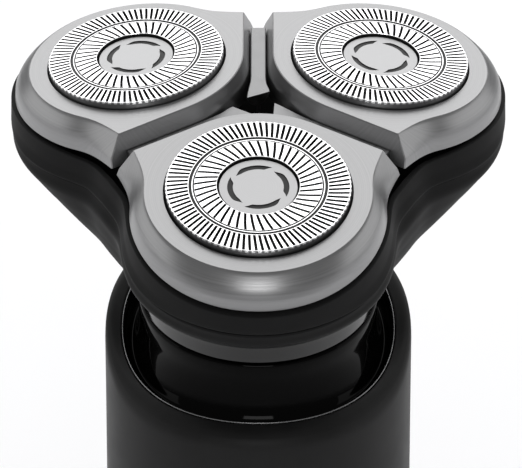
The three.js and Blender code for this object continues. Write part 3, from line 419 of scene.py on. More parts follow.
class Look:
    """A procedural material with one Principled shader, and short ways to wire its nodes."""

    def __init__(self, name, colour, roughness, metallic=0.0, **settings):
        self.material = bpy.data.materials.new(name)
        self.material.use_nodes = True
        self.material.diffuse_color = (*colour, 1)
        self.tree = self.material.node_tree
        self.shader = self.tree.nodes["Principled BSDF"]
        self.shader.inputs["Base Color"].default_value = (*colour, 1)
        self.shader.inputs["Roughness"].default_value = roughness
        self.shader.inputs["Metallic"].default_value = metallic
        for key, value in settings.items():
            self.shader.inputs[key.replace("_", " ")].default_value = value
        self.place = self.node("TexCoord").outputs["Object"]

    def node(self, kind, **settings):
        made = self.tree.nodes.new("ShaderNode" + kind)
        for key, value in settings.items():
            setattr(made, key, value)
        return made

    def link(self, source, target):
        self.tree.links.new(source, target)

    def noise(self, scale, detail=3.0):
        """Noise with features about 1/scale metres across."""
        made = self.node("TexNoise")
        made.inputs["Scale"].default_value = scale
        made.inputs["Detail"].default_value = detail
        self.link(self.place, made.inputs["Vector"])
        return made.outputs["Fac"]

    def spread(self, value, low, high, from_low=0.3, from_high=0.7):
        """A value brought from one range into another."""
        made = self.node("MapRange")
        ends = {"From Min": from_low, "From Max": from_high, "To Min": low, "To Max": high}
        for key, number in ends.items():
            made.inputs[key].default_value = number
        self.link(value, made.inputs["Value"])
        return made.outputs["Result"]

    def mix(self, value, low, high):
        """A colour between two others."""
        made = self.node("Mix", data_type="RGBA")
        made.inputs["A"].default_value = (*low, 1)
        made.inputs["B"].default_value = (*high, 1)
        self.link(value, made.inputs["Factor"])
        return made.outputs["Result"]

    def rings(self, scale):
        """Noise that only changes with the distance from the piece's own z axis, as turning leaves it."""
        own_place = self.node("Attribute", attribute_name=OWN_PLACE)
        flat = self.node("VectorMath", operation="MULTIPLY")
        flat.inputs[1].default_value = (1, 1, 0)
        self.link(own_place.outputs["Vector"], flat.inputs[0])
        length = self.node("VectorMath", operation="LENGTH")
        self.link(flat.outputs["Vector"], length.inputs[0])
        noise = self.node("TexNoise", noise_dimensions="1D")
        noise.inputs["Scale"].default_value = scale
        noise.inputs["Detail"].default_value = 2
        self.link(length.outputs["Value"], noise.inputs["W"])
        return noise.outputs["Fac"]

    def bump(self, value, strength, distance):
        made = self.node("Bump")
        made.inputs["Strength"].default_value = strength
        made.inputs["Distance"].default_value = distance
        self.link(value, made.inputs["Height"])
        self.link(made.outputs["Normal"], self.shader.inputs["Normal"])

    def vary(self, value, roughness=None, colours=None):
        """Lets a value between about 0.3 and 0.7 drive the roughness and the colour."""
        if roughness:
            self.link(self.spread(value, *roughness), self.shader.inputs["Roughness"])
        if colours:
            self.link(self.mix(self.spread(value, 0, 1), *colours), self.shader.inputs["Base Color"])


def grey(value):
    return (value, value, value * 1.01)


def turned_metal(name, low, high, roughness, ring_scale, bump):
    """Satin metal with faint turned lines."""
    look = Look(name, grey(high), roughness, 1.0)
    lines = look.rings(ring_scale)
    look.vary(lines, (roughness * 0.9, roughness * 1.12), (grey(low), grey(high)))
    look.bump(lines, bump, LINE_DEPTH)
    return look.material


def plain_metal(name, value, roughness):
    """Plain metal with slight blotches and scratches."""
    look = Look(name, grey(value), roughness, 1.0)
    blotches = look.noise(900)
    look.vary(blotches, (roughness * 0.8, roughness * 1.25), (grey(value * 0.9), grey(value)))
    look.bump(look.noise(6000, 1), 0.08, SCRATCH_DEPTH)
    return look.material


def matte_plastic(name, low, high, roughness, grain=5200, shine=0.3):
    """Moulded plastic with a fine spark-eroded grain."""
    look = Look(name, high, roughness, 0.0, Specular_IOR_Level=shine)
    look.vary(look.noise(240, 4), (roughness * 0.93, roughness * 1.07), (low, high))
    look.bump(look.noise(grain, 2), 0.16, GRAIN_DEPTH)
    return look.material


def gloss_plastic(name, colour, roughness, coat=0.0, shine=0.5):
    """Polished plastic that is very slightly uneven."""
    shell = {"Coat_Weight": coat, "Coat_Roughness": 0.03, "Specular_IOR_Level": shine}
    look = Look(name, colour, roughness, 0.0, **shell)
    look.vary(look.noise(300, 2), (roughness * 0.7, roughness * 1.4))
    look.bump(look.noise(60, 1), 0.02, RIPPLE_DEPTH)
    return look.material


def wound_metal(name):
    """A motor's dark laminations and varnished windings."""
    look = Look(name, grey(0.1), 0.45, 0.6)
    bands = look.node("TexWave", bands_direction="Z")
    bands.inputs["Scale"].default_value = 700
    look.link(look.place, bands.inputs["Vector"])
    look.vary(bands.outputs["Fac"], (0.35, 0.6), (grey(0.05), (0.16, 0.09, 0.05)))
    return look.material


def board_look(name):
    """Green solder mask with faint copper tracks beneath it."""
    look = Look(name, (0.02, 0.12, 0.05), 0.32)
    tracks = look.node("TexVoronoi", feature="DISTANCE_TO_EDGE")
    tracks.inputs["Scale"].default_value = 260
    look.link(look.place, tracks.inputs["Vector"])
    lines = look.spread(tracks.outputs["Distance"], 1, 0, 0.02, 0.06)
    look.link(look.mix(lines, (0.012, 0.09, 0.04), (0.05, 0.2, 0.08)), look.shader.inputs["Base Color"])
    return look.material


LOOKS = {
    "handle_matte": matte_plastic("handle_matte", grey(0.009), grey(0.012), 0.48, shine=0.18),
    "head_matte": matte_plastic("head_matte", grey(0.012), grey(0.0145), 0.54, shine=0.05),
    "gloss_black": gloss_plastic("gloss_black", grey(0.001), 0.05, shine=0.06),
    "head_gloss": gloss_plastic("head_gloss", grey(0.003), 0.07),
    "rim_trim": plain_metal("rim_trim", 0.25, 0.25),
    "button_metal": turned_metal("button_metal", 0.3, 0.36, 0.3, 9000, 0.35),
    "petal_metal": turned_metal("petal_metal", 0.27, 0.3, 0.33, 5200, 0.16),
    "arm_metal": plain_metal("arm_metal", 0.23, 0.34),
    # The cutter's face and its sides are lit and shaded copies of one steel: the near-white face is a painted
    # highlight, and the dark grey sides and skirt are painted shade.
    "cutter_steel": turned_metal("cutter_steel", 0.93, 0.97, 0.2, 9000, 0.08),
    "cutter_side": turned_metal("cutter_side", 0.26, 0.3, 0.34, 9000, 0.1),
    # Near-black for the floors and walls of the cutters' open slots and the seat under the disc: painted shade
    # for the dark inside that the slots open onto.
    "slot_dark": matte_plastic("slot_dark", grey(0.002), grey(0.004), 0.7),
    "disc_metal": turned_metal("disc_metal", 0.33, 0.35, 0.36, 7000, 0.08),
    "disc_arcs": matte_plastic("disc_arcs", grey(0.018), grey(0.026), 0.5),
    "blade_steel": plain_metal("blade_steel", 0.55, 0.25),
    "seal_rubber": matte_plastic("seal_rubber", grey(0.012), grey(0.018), 0.8, 3000),
    "switch_metal": plain_metal("switch_metal", 0.4, 0.35),
    "window_glass": gloss_plastic("window_glass", grey(0.025), 0.08, 0.6),
    "window_lamp": matte_plastic("window_lamp", grey(0.3), grey(0.36), 0.4),
    "socket_shell": plain_metal("socket_shell", 0.3, 0.4),
    "contact": plain_metal("contact", 0.62, 0.22),
    "grey_plastic": matte_plastic("grey_plastic", grey(0.16), grey(0.2), 0.5),
    "board": board_look("board"),
    "cell_wrap": gloss_plastic("cell_wrap", (0.02, 0.09, 0.24), 0.25),
    "motor_steel": plain_metal("motor_steel", 0.56, 0.32),
    "fastener_steel": plain_metal("fastener_steel", 0.52, 0.28),
    "spring_steel": plain_metal("spring_steel", 0.58, 0.25),
    "armature": wound_metal("armature"),
    "magnet": plain_metal("magnet", 0.6, 0.24),
    "gear_plastic": matte_plastic("gear_plastic", (0.68, 0.67, 0.62), (0.76, 0.75, 0.7), 0.4),
}


def dress_cad_nodes():
    """Gives each CAD node that stays in view the look of its slot in the record."""
    for entry in frame["record"]["subparts"]:
        node = frame["nodes"][entry["node"]]
        node.data.materials.clear()
        node.data.materials.append(LOOKS[entry["material_slot"]])


# ---- Handle ----


def rim_height(y):
    curve = np.where(y < 0, RIM_FRONT_CURVE, RIM_BACK_CURVE)
    return RIM_MID + RIM_SLOPE * y + curve * y * y


def handle_radius(height):
    return lerp(BASE_RADIUS, TOP_RADIUS, height / NECK_HEIGHT)


def follow_rim(grid):
    """Bends the top of a piece of the handle to follow the rim."""
    bent = grid.copy()
    bent[..., 2] += rim_height(grid[..., 1]) * smoothstep(*BEND, grid[..., 2])
    return bent


def flattened_rim(grid):
    """The rim's chamfer is steep in front and nearly flat behind."""
    radius = np.hypot(grid[..., 0], grid[..., 1])
    outwards = np.clip((radius - RIM_RADIUS) / (TOP_RADIUS - RIM_RADIUS), 0, 1)
    raised = grid.copy()
    near_top = smoothstep(BEND[1], NECK_HEIGHT - CHAMFER_DROP, grid[..., 2])
    raised[..., 2] += CHAMFER_LIFT * outwards * near_top * smoothstep(*CHAMFER_TURN, grid[..., 1])
    return follow_rim(raised)


def bar(name, radius, front, back):
    """A round bar on the button's axis, for cutting."""
    profile = [(0, -back), (radius, -back), (radius, -front), (0, -front)]
    return turned_piece(name, profile, LOOKS["slot_dark"], 64, facing_front(0, 0, BUTTON_HEIGHT))


def oblong(size, margin, corner, steps):
    """The outline of an oblong with rounded corners, as (across, up) pairs."""
    half_width, half_height = size[0] / 2 + margin, size[1] / 2 + margin
    corners = [(-half_width, -half_height), (half_width, -half_height), (half_width, half_height)]
    corners.append((-half_width, half_height))
    return rounded([(x, z, corner) for x, z in corners], closed=True, steps=steps)


def slab(name, size, margin, front, back, height, corner, look):
    """An upright bar with an oblong section that runs from front to back."""
    outline = oblong(size, margin, corner, 6)
    rows = []
    for y, scale in ((front, 0), (front, 1), (back, 1), (back, 0)):
        rows.append([(x * scale, y, z * scale + height) for x, z in outline])
    grid = np.array(rows)
    return make_piece(name, grid, grid_faces(*grid.shape[:2], False), [LOOKS[look]])


def make_handle():
    bottom = BASE_HEIGHT + GAP
    chamfer = NECK_HEIGHT - CHAMFER_DROP
    straight_heights = np.arange(10, BEND[0], 8)
    bent_heights = np.arange(BEND[0], chamfer - 1.5, 1.5)
    outer = [(handle_radius(z), z) for z in np.concatenate([[bottom + 0.6], straight_heights, bent_heights])]
    inner = [(handle_radius(z) - WALL, z) for z in (BEND[1], 104, 99, 94, BEND[0], bottom + 0.2)]
    edge = RIM_RADIUS + 0.12
    bevel = [
        (handle_radius(chamfer), chamfer, 1.1),
        (lerp(edge, TOP_RADIUS, 0.55), NECK_HEIGHT - 0.62, 1.0),
        (edge, NECK_HEIGHT, 0.25),
        (edge, chamfer - 1),
    ]
    profile = rounded([(handle_radius(bottom) - 0.3, bottom), *outer, *bevel, *inner], closed=True)
    shell = turned_piece("handle_body", profile, LOOKS["handle_matte"], 160, warp=flattened_rim)
    holes = [
        bar("button_hole", BEZEL_RADIUS + 0.1, *FRONT_CUT),
        slab("window_hole", WINDOW_SIZE, 0.12, *FRONT_CUT, WINDOW_HEIGHT, WINDOW_CORNER + 0.05, "slot_dark"),
        slab("socket_hole", SOCKET_SIZE, 0.15, *BACK_CUT, SOCKET_HEIGHT, 2.2, "slot_dark"),
    ]
    assign(carved(shell, holes), "handle", ["handle_shell"])


def make_base():
    """A shallow dish with a foot, and a plug that closes the handle."""
    radius = handle_radius(BASE_HEIGHT)
    plug = radius - WALL - GAP
    bore = plug - 1.6
    profile = rounded([
        (0, 0.5), (6, 0.5), (6.4, 0.1), (7, 0), (radius - 2.2, 0, 0.4), (radius - 0.6, 0.9, 0.8),
        (radius, BASE_HEIGHT, 0.25), (plug, BASE_HEIGHT), (plug, BASE_PLUG_TOP), (bore, BASE_PLUG_TOP),
        (bore, BASE_FLOOR), (0, BASE_FLOOR),
    ])
    base = turned_piece("base", profile, LOOKS["handle_matte"], 128, loop=False)
    assign(base, "handle", ["base_cap"])


def make_rim_ring():
    outer = RIM_RADIUS + 0.02
    inner = outer - RING_WIDTH
    top, bottom = NECK_HEIGHT + RING_PROUD, NECK_HEIGHT - 1.2
    profile = rounded([(inner, bottom), (outer, bottom), (outer, top, 0.1), (inner, top, 0.1)], closed=True)
    ring = turned_piece("rim_hairline", profile, LOOKS["rim_trim"], 192, warp=follow_rim)
    assign(ring, "handle", ["rim_ring"])


def in_world(points):
    return transformed(HEAD, points)


def make_neck():
    """The leaning tube under the head flares into a dish that ends at the bright ring."""
    angles = even_angles(192)

    def in_head(*profile):
        return in_world(turned(rounded(profile), angles))

    def at_rim(*profile):
        raised = [(radius, NECK_HEIGHT + height) for radius, height in profile]
        return follow_rim(turned(raised, angles))

    top = in_head(
        (NECK_BORE, COLLAR_TOP - COLLAR_PLATE),
        (COLLAR_HOLE, COLLAR_TOP - COLLAR_PLATE),
        (COLLAR_HOLE, COLLAR_TOP, 0.3),
        (NECK_RADIUS, COLLAR_TOP, 0.7),
        (NECK_RADIUS, COLLAR_TOP - 2),
    )
    lip = at_rim(
        (SKIRT_RADIUS - LIP_EDGE, -LIP_DROP),
        (SKIRT_RADIUS, -LIP_DROP - LIP_EDGE),
        (SKIRT_RADIUS, -SKIRT_HEIGHT),
    )
    # The tube's line is followed down to the top of the dish, and a curve then runs out to the lip.
    tube = top[-1]
    down = in_head((NECK_RADIUS, COLLAR_TOP - 3))[0] - tube
    dish_top = DISH_TOP + DISH_SLOPE * tube[:, 1:2]
    start = tube + down * np.maximum(tube[:, 2:] - dish_top, 0.3) / -down[:, 2:]
    bend = start + down * DISH_BEND
    foot = at_rim((SKIRT_RADIUS - DISH_FOOT[0], -DISH_FOOT[1]))[0]
    shares = np.linspace(0, 1, 22)[:, None, None]
    dish = (
        start * (1 - shares) ** 3
        + 3 * bend * shares * (1 - shares) ** 2
        + 3 * foot * shares**2 * (1 - shares)
        + lip[0] * shares**3
    )
    bottom = in_head(
        (NECK_RADIUS, COLLAR_TOP - 13.5),
        (NECK_RADIUS, COLLAR_TOP - COLLAR_LENGTH),
        (NECK_BORE, COLLAR_TOP - COLLAR_LENGTH),
    )
    grid = np.concatenate([top, dish[:-1], lip, bottom])
    faces = grid_faces(*grid.shape[:2], True)
    neck = make_piece("neck_gloss", grid, faces, [LOOKS["gloss_black"]], crease=40)
    assign(neck, "handle", ["neck_collar"])


def make_button():
    """A metal cap with a shallow face on a stem, in a glossy ring."""
    matrix = facing_front(0, 0, BUTTON_HEIGHT)
    underside = BUTTON_FRONT - BUTTON_THICKNESS
    cap = rounded([
        (0, BUTTON_STEM_END), (BUTTON_STEM_RADIUS, BUTTON_STEM_END, 0.3), (BUTTON_STEM_RADIUS, underside),
        (BUTTON_RADIUS, underside, 0.2), (BUTTON_RADIUS, BUTTON_FRONT, 0.5),
        (BUTTON_RADIUS - 1.1, BUTTON_FRONT, 0.2), (BUTTON_RADIUS - 1.5, BUTTON_FRONT - 0.3, 0.3),
        (0, BUTTON_FRONT - 0.45),
    ])
    button = turned_piece("button", cap, LOOKS["button_metal"], 96, matrix, loop=False)
    assign(button, "button", ["power_button"])
    back = BUTTON_FRONT + 0.2 - BUTTON_THICKNESS
    inner = BUTTON_RADIUS + 0.22
    profile = rounded([
        (inner, back), (BEZEL_RADIUS, back), (BEZEL_RADIUS, BUTTON_FRONT + 0.05, 0.5),
        (inner + 0.2, BUTTON_FRONT - 0.1, 0.4), (inner, BUTTON_FRONT - 1.2, 0.3),
    ], closed=True)

    def hug(grid):
        """The ring's face follows the curve of the handle."""
        bent = grid.copy()
        radius = handle_radius(BUTTON_HEIGHT)
        sink = radius - np.sqrt(radius**2 - grid[..., 0] ** 2)
        bent[..., 2] -= sink * smoothstep(back, BUTTON_FRONT, grid[..., 2])
        return bent

    bezel = turned_piece("bezel", profile, LOOKS["gloss_black"], 96, matrix, warp=hug)
    assign(bezel, "handle", ["button_bezel"])


def make_window():
    """A smoked lens, curved like the handle, with three small lamps let into it."""
    reach = handle_radius(WINDOW_HEIGHT)
    outline = oblong(WINDOW_SIZE, 0, WINDOW_CORNER, 8)
    rows = []
    for depth, scale in ((WALL, 0), (WALL, 1), (0.15, 1), (0, 0.97), (0, 0.6), (0, 0)):
        rows.append([
            (x * scale, -math.sqrt((reach - depth) ** 2 - (x * scale) ** 2), z * scale + WINDOW_HEIGHT)
            for x, z in outline
        ])
    grid = np.array(rows)
    lens = make_piece("light_window", grid, grid_faces(*grid.shape[:2], False), [LOOKS["window_glass"]])
    assign(lens, "handle", ["charge_window"])
    profile = rounded([(0, -0.1), (LAMP_RADIUS, -0.1), (LAMP_RADIUS, 0.06, 0.06), (0, 0.09)])
    for index, x in enumerate(LAMP_PLACES):
        matrix = facing_front(x, -math.sqrt(reach**2 - x * x), WINDOW_HEIGHT)
        name = f"window_lamp_{index + 1}"
        lamp = turned_piece(name, profile, LOOKS["window_lamp"], 24, matrix, loop=False)
        assign(lamp, "handle")


def make_socket():
    """The charging socket: a rounded shell with a hollow mouth and two contact pins."""
    face = handle_radius(SOCKET_HEIGHT) - SOCKET_INSET
    shell = slab("inlet", SOCKET_SIZE, 0, face - SOCKET_LENGTH, face, SOCKET_HEIGHT, 2.1, "socket_shell")
    bottom = face - MOUTH_DEPTH
    mouth = slab("mouth", SOCKET_MOUTH, 0, bottom, face + 1, SOCKET_HEIGHT, 1.5, "slot_dark")
    assign(carved(shell, [mouth]), "handle", ["charging_socket"])
    profile = rounded([
        (0, bottom - 0.1), (PIN_RADIUS, bottom - 0.1), (PIN_RADIUS, face - 1.4, 0.5), (0, face - 1.2),
    ])
    for index, x in enumerate(PIN_PLACES):
        matrix = facing_back(x, 0, SOCKET_HEIGHT)
        name = f"contact_pin_{index + 1}"
        pin = turned_piece(name, profile, LOOKS["contact"], 24, matrix, loop=False)
        assign(pin, "handle")


# ---- Head housing ----


def angle_in_lobe(x, y):
    sector = TURN / LOBES
    return (np.arctan2(y, x) - lobe_angle(0) + sector / 2) % sector - sector / 2


def housing_reach(angle):
    """How far the housing reaches at an angle in its lobe: a lobe's arc, blended into the round waist."""
    across = CUTTER_OFFSET * np.sin(angle)
    lobe = CUTTER_OFFSET * np.cos(angle) + np.sqrt(LOBE_RADIUS**2 - across**2)
    total = np.exp(lobe / WAIST_SOFTNESS) + np.exp(WAIST_RADIUS / WAIST_SOFTNESS)
    return np.minimum(WAIST_SOFTNESS * np.log(total), HOUSING_REACH)


def lobed(grid):
    """Gives a turned piece of the housing its lobes, which fade into a round neck."""
    x, y, z = grid[..., 0], grid[..., 1], grid[..., 2]
    strength = 1 - smoothstep(LOBED_DEPTH, ROUND_DEPTH, -z)
    angle = angle_in_lobe(x, y)
    scale = lerp(1, housing_reach(angle) / HOUSING_REACH, strength)
    outwards = np.hypot(x, y) * scale * np.cos(angle) - CUTTER_OFFSET
    return np.stack([x * scale, y * scale, z - outwards * math.tan(CUTTER_TILT) * strength], axis=-1)


def dipped(grid, angles, depths, drops, pulls=(0, 0, 0)):
    """Lowers the rows at three depths and pulls them in, fully so between the lobes."""
    share = smoothstep(*angles, np.abs(angle_in_lobe(grid[..., 0], grid[..., 1])))
    scale = 1 - share * np.interp(-grid[..., 2], depths, pulls) / WAIST_RADIUS
    bent = grid * np.stack([scale, scale, np.ones_like(scale)], axis=-1)
    bent[..., 2] -= share * np.interp(-grid[..., 2], depths, drops)
    return bent


def make_deck():
    """The head's upper part is a shallow cup: a wall that ends at the seam, and a floor under the petals."""
    angles = even_angles(HOUSING_SIDES)
    wall_bottom = -SEAM[0]
    under_edge = [(HOUSING_REACH - 4.2, -DECK_BOTTOM), (HOUSING_REACH - 2.2, wall_bottom)]
    under = rounded([(0, -DECK_BOTTOM), *under_edge])
    wall_heights = np.linspace(wall_bottom + 0.3, -DECK_TOP - 0.3, 6)
    wall = rounded([
        (HOUSING_REACH - 2.0, wall_bottom), (HOUSING_REACH - 0.1, wall_bottom, 0.15),
        *[(HOUSING_REACH, z) for z in wall_heights], (HOUSING_REACH, -DECK_TOP, 0.15),
        (HOUSING_REACH - 0.4, -DECK_TOP),
    ])
    inside = [(HOUSING_REACH - inset, -depth, *rounding) for inset, depth, *rounding in CUP]
    cup = rounded([(HOUSING_REACH - 0.6, -DECK_TOP), *inside, (0, -DECK_FLOOR)])
    depths = (DECK_TOP, SEAM[0], DECK_FLOOR)
    flank_drops = (FLANK_DIP, 0, 0)
    wall_grid = dipped(turned(wall, angles), SEAM_ANGLES, depths, (0, SEAM_DIP, SEAM_DIP))
    wall_grid = dipped(wall_grid, FLANK_ANGLES, depths, flank_drops, (SIDE_PULL, SEAM_PULL, 0))
    wall_grid = dipped(wall_grid, WAIST_ANGLES, depths, (WAIST_DIP, 0, 0))
    cup_pulls = (SIDE_PULL, SIDE_PULL / 2, 0)
    cup_grid = dipped(turned(cup, angles), FLANK_ANGLES, depths, flank_drops, cup_pulls)
    cup_grid = dipped(cup_grid, WAIST_ANGLES, depths, (WAIST_DIP, WAIST_DIP / 2, 0))
    grid = lobed(np.concatenate([turned(under, angles), wall_grid, cup_grid]))
    faces = grid_faces(*grid.shape[:2], False)
    deck = make_piece("head_upper", grid, faces, [LOOKS["head_matte"]], matrix=HEAD_METRES)
    hole = [(0, -16), (DECK_HOLE, -16), (DECK_HOLE, -4), (0, -4)]
    look = LOOKS["head_matte"]
    holes = [turned_piece("hole", hole, look, 32, matrix, loop=False) for matrix in PETALS_METRES]
    assign(carved(deck, holes), "head", ["head_deck"])


def make_base_of_head():
    """The head's lower part is matte, down to a glossy end that carries on the neck's line."""
    seam = -SEAM[1]
    bore = HOUSING_REACH - HOUSING_WALL
    floor = HEAD_FLOOR - HEAD_BOTTOM
    outer = [(reach, -depth) for depth, reach in smooth_line(FUNNEL)[::-1]]
    inner = [(reach - HOUSING_WALL, z) for reach, z in outer[::-1] if -z < HEAD_BOTTOM - 2]
    profile = rounded([
        (SOCKET_HOLE, -HEAD_BOTTOM, 0.3), (NECK_RADIUS, -HEAD_BOTTOM, 0.4), (NECK_RADIUS, -GLOSS_TOP - 1.5),
        *outer, (HOUSING_REACH - 0.06, seam - 0.25), (HOUSING_REACH - 0.15, seam, 0.15), (bore, seam),
        *inner, (NECK_RADIUS - HOUSING_WALL, floor), (SOCKET_HOLE, floor),
    ], closed=True)
    depths = (SEAM[1], 11, 15)
    grid = turned(profile, even_angles(HOUSING_SIDES))
    grid = dipped(grid, FLANK_ANGLES, depths, (0, 0, 0), (SEAM_PULL, 0, 0))
    grid = dipped(grid, SEAM_ANGLES, depths, (SEAM_DIP, SEAM_DIP / 2, 0))
    faces = grid_faces(*grid.shape[:2], True)
    is_glossy = [profile[face[0] // HOUSING_SIDES][1] < -GLOSS_TOP + 0.05 for face in faces]
    looks = [LOOKS["head_matte"], LOOKS["head_gloss"]]
    base = make_piece("head_lower", lobed(grid), faces, looks, is_glossy, HEAD_METRES, crease=12)
    assign(base, "head", ["head_base"])


def spider_section(along):
    """An arm's section at a distance from the head's axis: a flat top with slanted sides, on a thin web."""
    half = SPIDER_HALF + SPIDER_FLARE * (1 - smoothstep(2.2, 7, along)) ** 1.5
    slant = SPIDER_SLANT * (1 - smoothstep(SPIDER_START, 5, along))
    edge = -SPIDER_DEPTH - SPIDER_EDGE
    right = [
        (half - SPIDER_EDGE, -SPIDER_DEPTH), (half, edge), (half * 0.55, -BAND_DEPTH + 0.4),
        (SPIDER_WEB, -BAND_DEPTH), (SPIDER_WEB, -SPIDER_WEB_DEPTH),
    ]
    left = [(-across, z) for across, z in reversed(right)]
    return [(along + slant * across, across, z) for across, z in right + left]


def make_spider():
    """Three arms fill the gaps between the petals. Their inner ends flare and are cut at a slant."""
    half_sector = TURN / LOBES / 2
    shares = np.linspace(0, 1, 26) ** 1.5
    grid = np.array([spider_section(lerp(SPIDER_START, SPIDER_END, share)) for share in shares])
    outwards = np.hypot(grid[..., 0], grid[..., 1]) * math.cos(half_sector) - CUTTER_OFFSET
    grid[..., 2] -= outwards * math.tan(CUTTER_TILT)
    points = np.concatenate([grid.reshape(-1, 3), grid[:1].mean(1), grid[-1:].mean(1)])
    rows, columns = grid.shape[:2]
    faces = grid_faces(rows, columns, False)
    for row, centre in ((0, rows * columns), (rows - 1, rows * columns + 1)):
        for column in range(columns):
            faces.append((centre, row * columns + column, row * columns + (column + 1) % columns))
    for index in range(LOBES):
        matrix = HEAD_METRES @ Matrix.Rotation(lobe_angle(index) + half_sector, 4, "Z")
        looks = [LOOKS["arm_metal"]]
        arm = make_piece(f"spider_arm_{index + 1}", points, faces, looks, matrix=matrix, crease=25)
        assign(arm, "head")
    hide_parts("centre_spider")


# ---- Petals ----


def petal_angles():
    """Angles from straight out, with two close together at each ear's chamfered corner."""
    round_part = np.arange(0, FLARE_ANGLE, 2.0)
    flare = np.linspace(FLARE_ANGLE, CORNER_ANGLE - CORNER_STEP, 26)
    wall = np.linspace(CORNER_ANGLE + CORNER_STEP, WALL_ANGLE, 18)
    inner = np.arange(WALL_ANGLE + 2, 180, 2.0)
    half = np.concatenate([round_part, flare, wall, inner, [180]])
    return np.concatenate([half, -half[-2:0:-1]])


def bevel_share(depth):
    """How far down its bevel a petal is at a depth: 0 at the plate, 1 at the shoulder."""
    return max(0, depth - PLATE_DEPTH) / (SHOULDER_DEPTH - PLATE_DEPTH)


def petal_round(depth, angle):
    """The round part of a petal's outline at a depth, which is slightly narrower across than it is long."""
    pull = SIDE_PULL * smoothstep(*PULL_ANGLES, angle)
    if depth > SHOULDER_DEPTH:
        share = (depth - SHOULDER_DEPTH) / (BAND_DEPTH - SHOULDER_DEPTH)
        return lerp(SHOULDER_RADIUS, BAND_RADIUS, share) - pull
    share = bevel_share(depth)
    bulge = BEVEL_BULGE * math.sin(math.pi * share)
    return lerp(PLATE_RADIUS, SHOULDER_RADIUS, share) + bulge - pull * share


def wall_distance(depth):
    """From a cutter's axis to the wall of a gap."""
    half_gap = GAP_TOP - GAP_LEAN * max(0, depth - PLATE_DEPTH)
    return (CUTTER_OFFSET - depth * math.sin(CUTTER_TILT)) * math.sin(TURN / LOBES / 2) - half_gap


def petal_point(depth, size):
    """Angle and reach of a point of a petal's outline at a depth, from its angle in the plate's outline."""
    corner = CORNER_ANGLE - CORNER_SHIFT * min(1, bevel_share(depth))
    wall = wall_distance(depth)
    if size <= FLARE_ANGLE:
        return size, petal_round(depth, size)
    if size < CORNER_ANGLE:
        along = (size - FLARE_ANGLE) / (CORNER_ANGLE - CORNER_STEP - FLARE_ANGLE)
        ear = wall / math.cos(math.radians(corner - WALL_ANGLE)) - CORNER_TRIM
        placed = lerp(FLARE_ANGLE, corner - CORNER_CHAMFER, along)
        return placed, lerp(petal_round(depth, size), ear, along**FLARE_POWER)
    if size < WALL_ANGLE:
        along = (size - CORNER_ANGLE - CORNER_STEP) / (WALL_ANGLE - CORNER_ANGLE - CORNER_STEP)
        placed = lerp(corner + CORNER_CHAMFER, WALL_ANGLE, along)
        return placed, wall / math.cos(math.radians(placed - WALL_ANGLE))
    return size, wall


def petal_outline(depth):
    """Angle in radians and reach of each point of a petal's outline at a depth."""
    angles = petal_angles()
    sizes, reaches = np.array([petal_point(depth, abs(angle)) for angle in angles]).T
    return np.copysign(np.radians(sizes), angles), reaches


def petal_row(depth, inset=0.0, share=1.0):
    """A row of points at a depth, part of the way from the round hole to the outline."""
    angles, reaches = petal_outline(depth)
    radius = lerp(PLATE_HOLE, reaches - inset, share)
    heights = np.full_like(radius, -depth)
    return np.stack([radius * np.sin(angles), radius * np.cos(angles), heights], axis=-1)


def make_petal(index):
    """A skin that runs from the band's lower edge up over the bevel and the plate, and back underneath."""
    rows = [petal_row(BAND_DEPTH, 0.15)]
    rows += [petal_row(depth) for depth in (BAND_DEPTH - 0.12, 4.4, SHOULDER_DEPTH + 0.08)]
    rows += [petal_row(depth) for depth in np.linspace(SHOULDER_DEPTH - 0.06, PLATE_DEPTH + 0.12, 12)]
    rows += [petal_row(PLATE_DEPTH, PLATE_ROUNDING, share) for share in (1, 0.8, 0.55, 0.3, 0.1)]
    rows.append(petal_row(PLATE_DEPTH, 0, 0.02))
    rows += [petal_row(PLATE_DEPTH, 0, 0) - (0, 0, lowered) for lowered in (0.06, SKIN)]
    rows.append(petal_row(PLATE_DEPTH, 0.45) - (0, 0, SKIN))
    rows += [petal_row(SHOULDER_DEPTH, SKIN), petal_row(BAND_DEPTH, SKIN)]
    grid = np.array(rows)
    number = index + 1
    petal = make_piece(
        f"petal_metal_{number}", grid, grid_faces(*grid.shape[:2], True), [LOOKS["petal_metal"]],
        matrix=PETALS_METRES[index], crease=22,
    )
    assign(petal, f"petal_holder_{number}", [f"petal_{number}"])


# ---- Cutters ----


def slot_skew(radius):
    """How far the slots have turned at a radius."""
    inner = math.tan(INNER_SKEW) * math.log(min(max(radius, SEAT_RADIUS), GROOVE[0]) / SEAT_RADIUS)
    outer = math.tan(OUTER_SKEW) * math.log(min(max(radius, GROOVE[1]), CUTTER_RADIUS) / GROOVE[1])
    return inner + outer


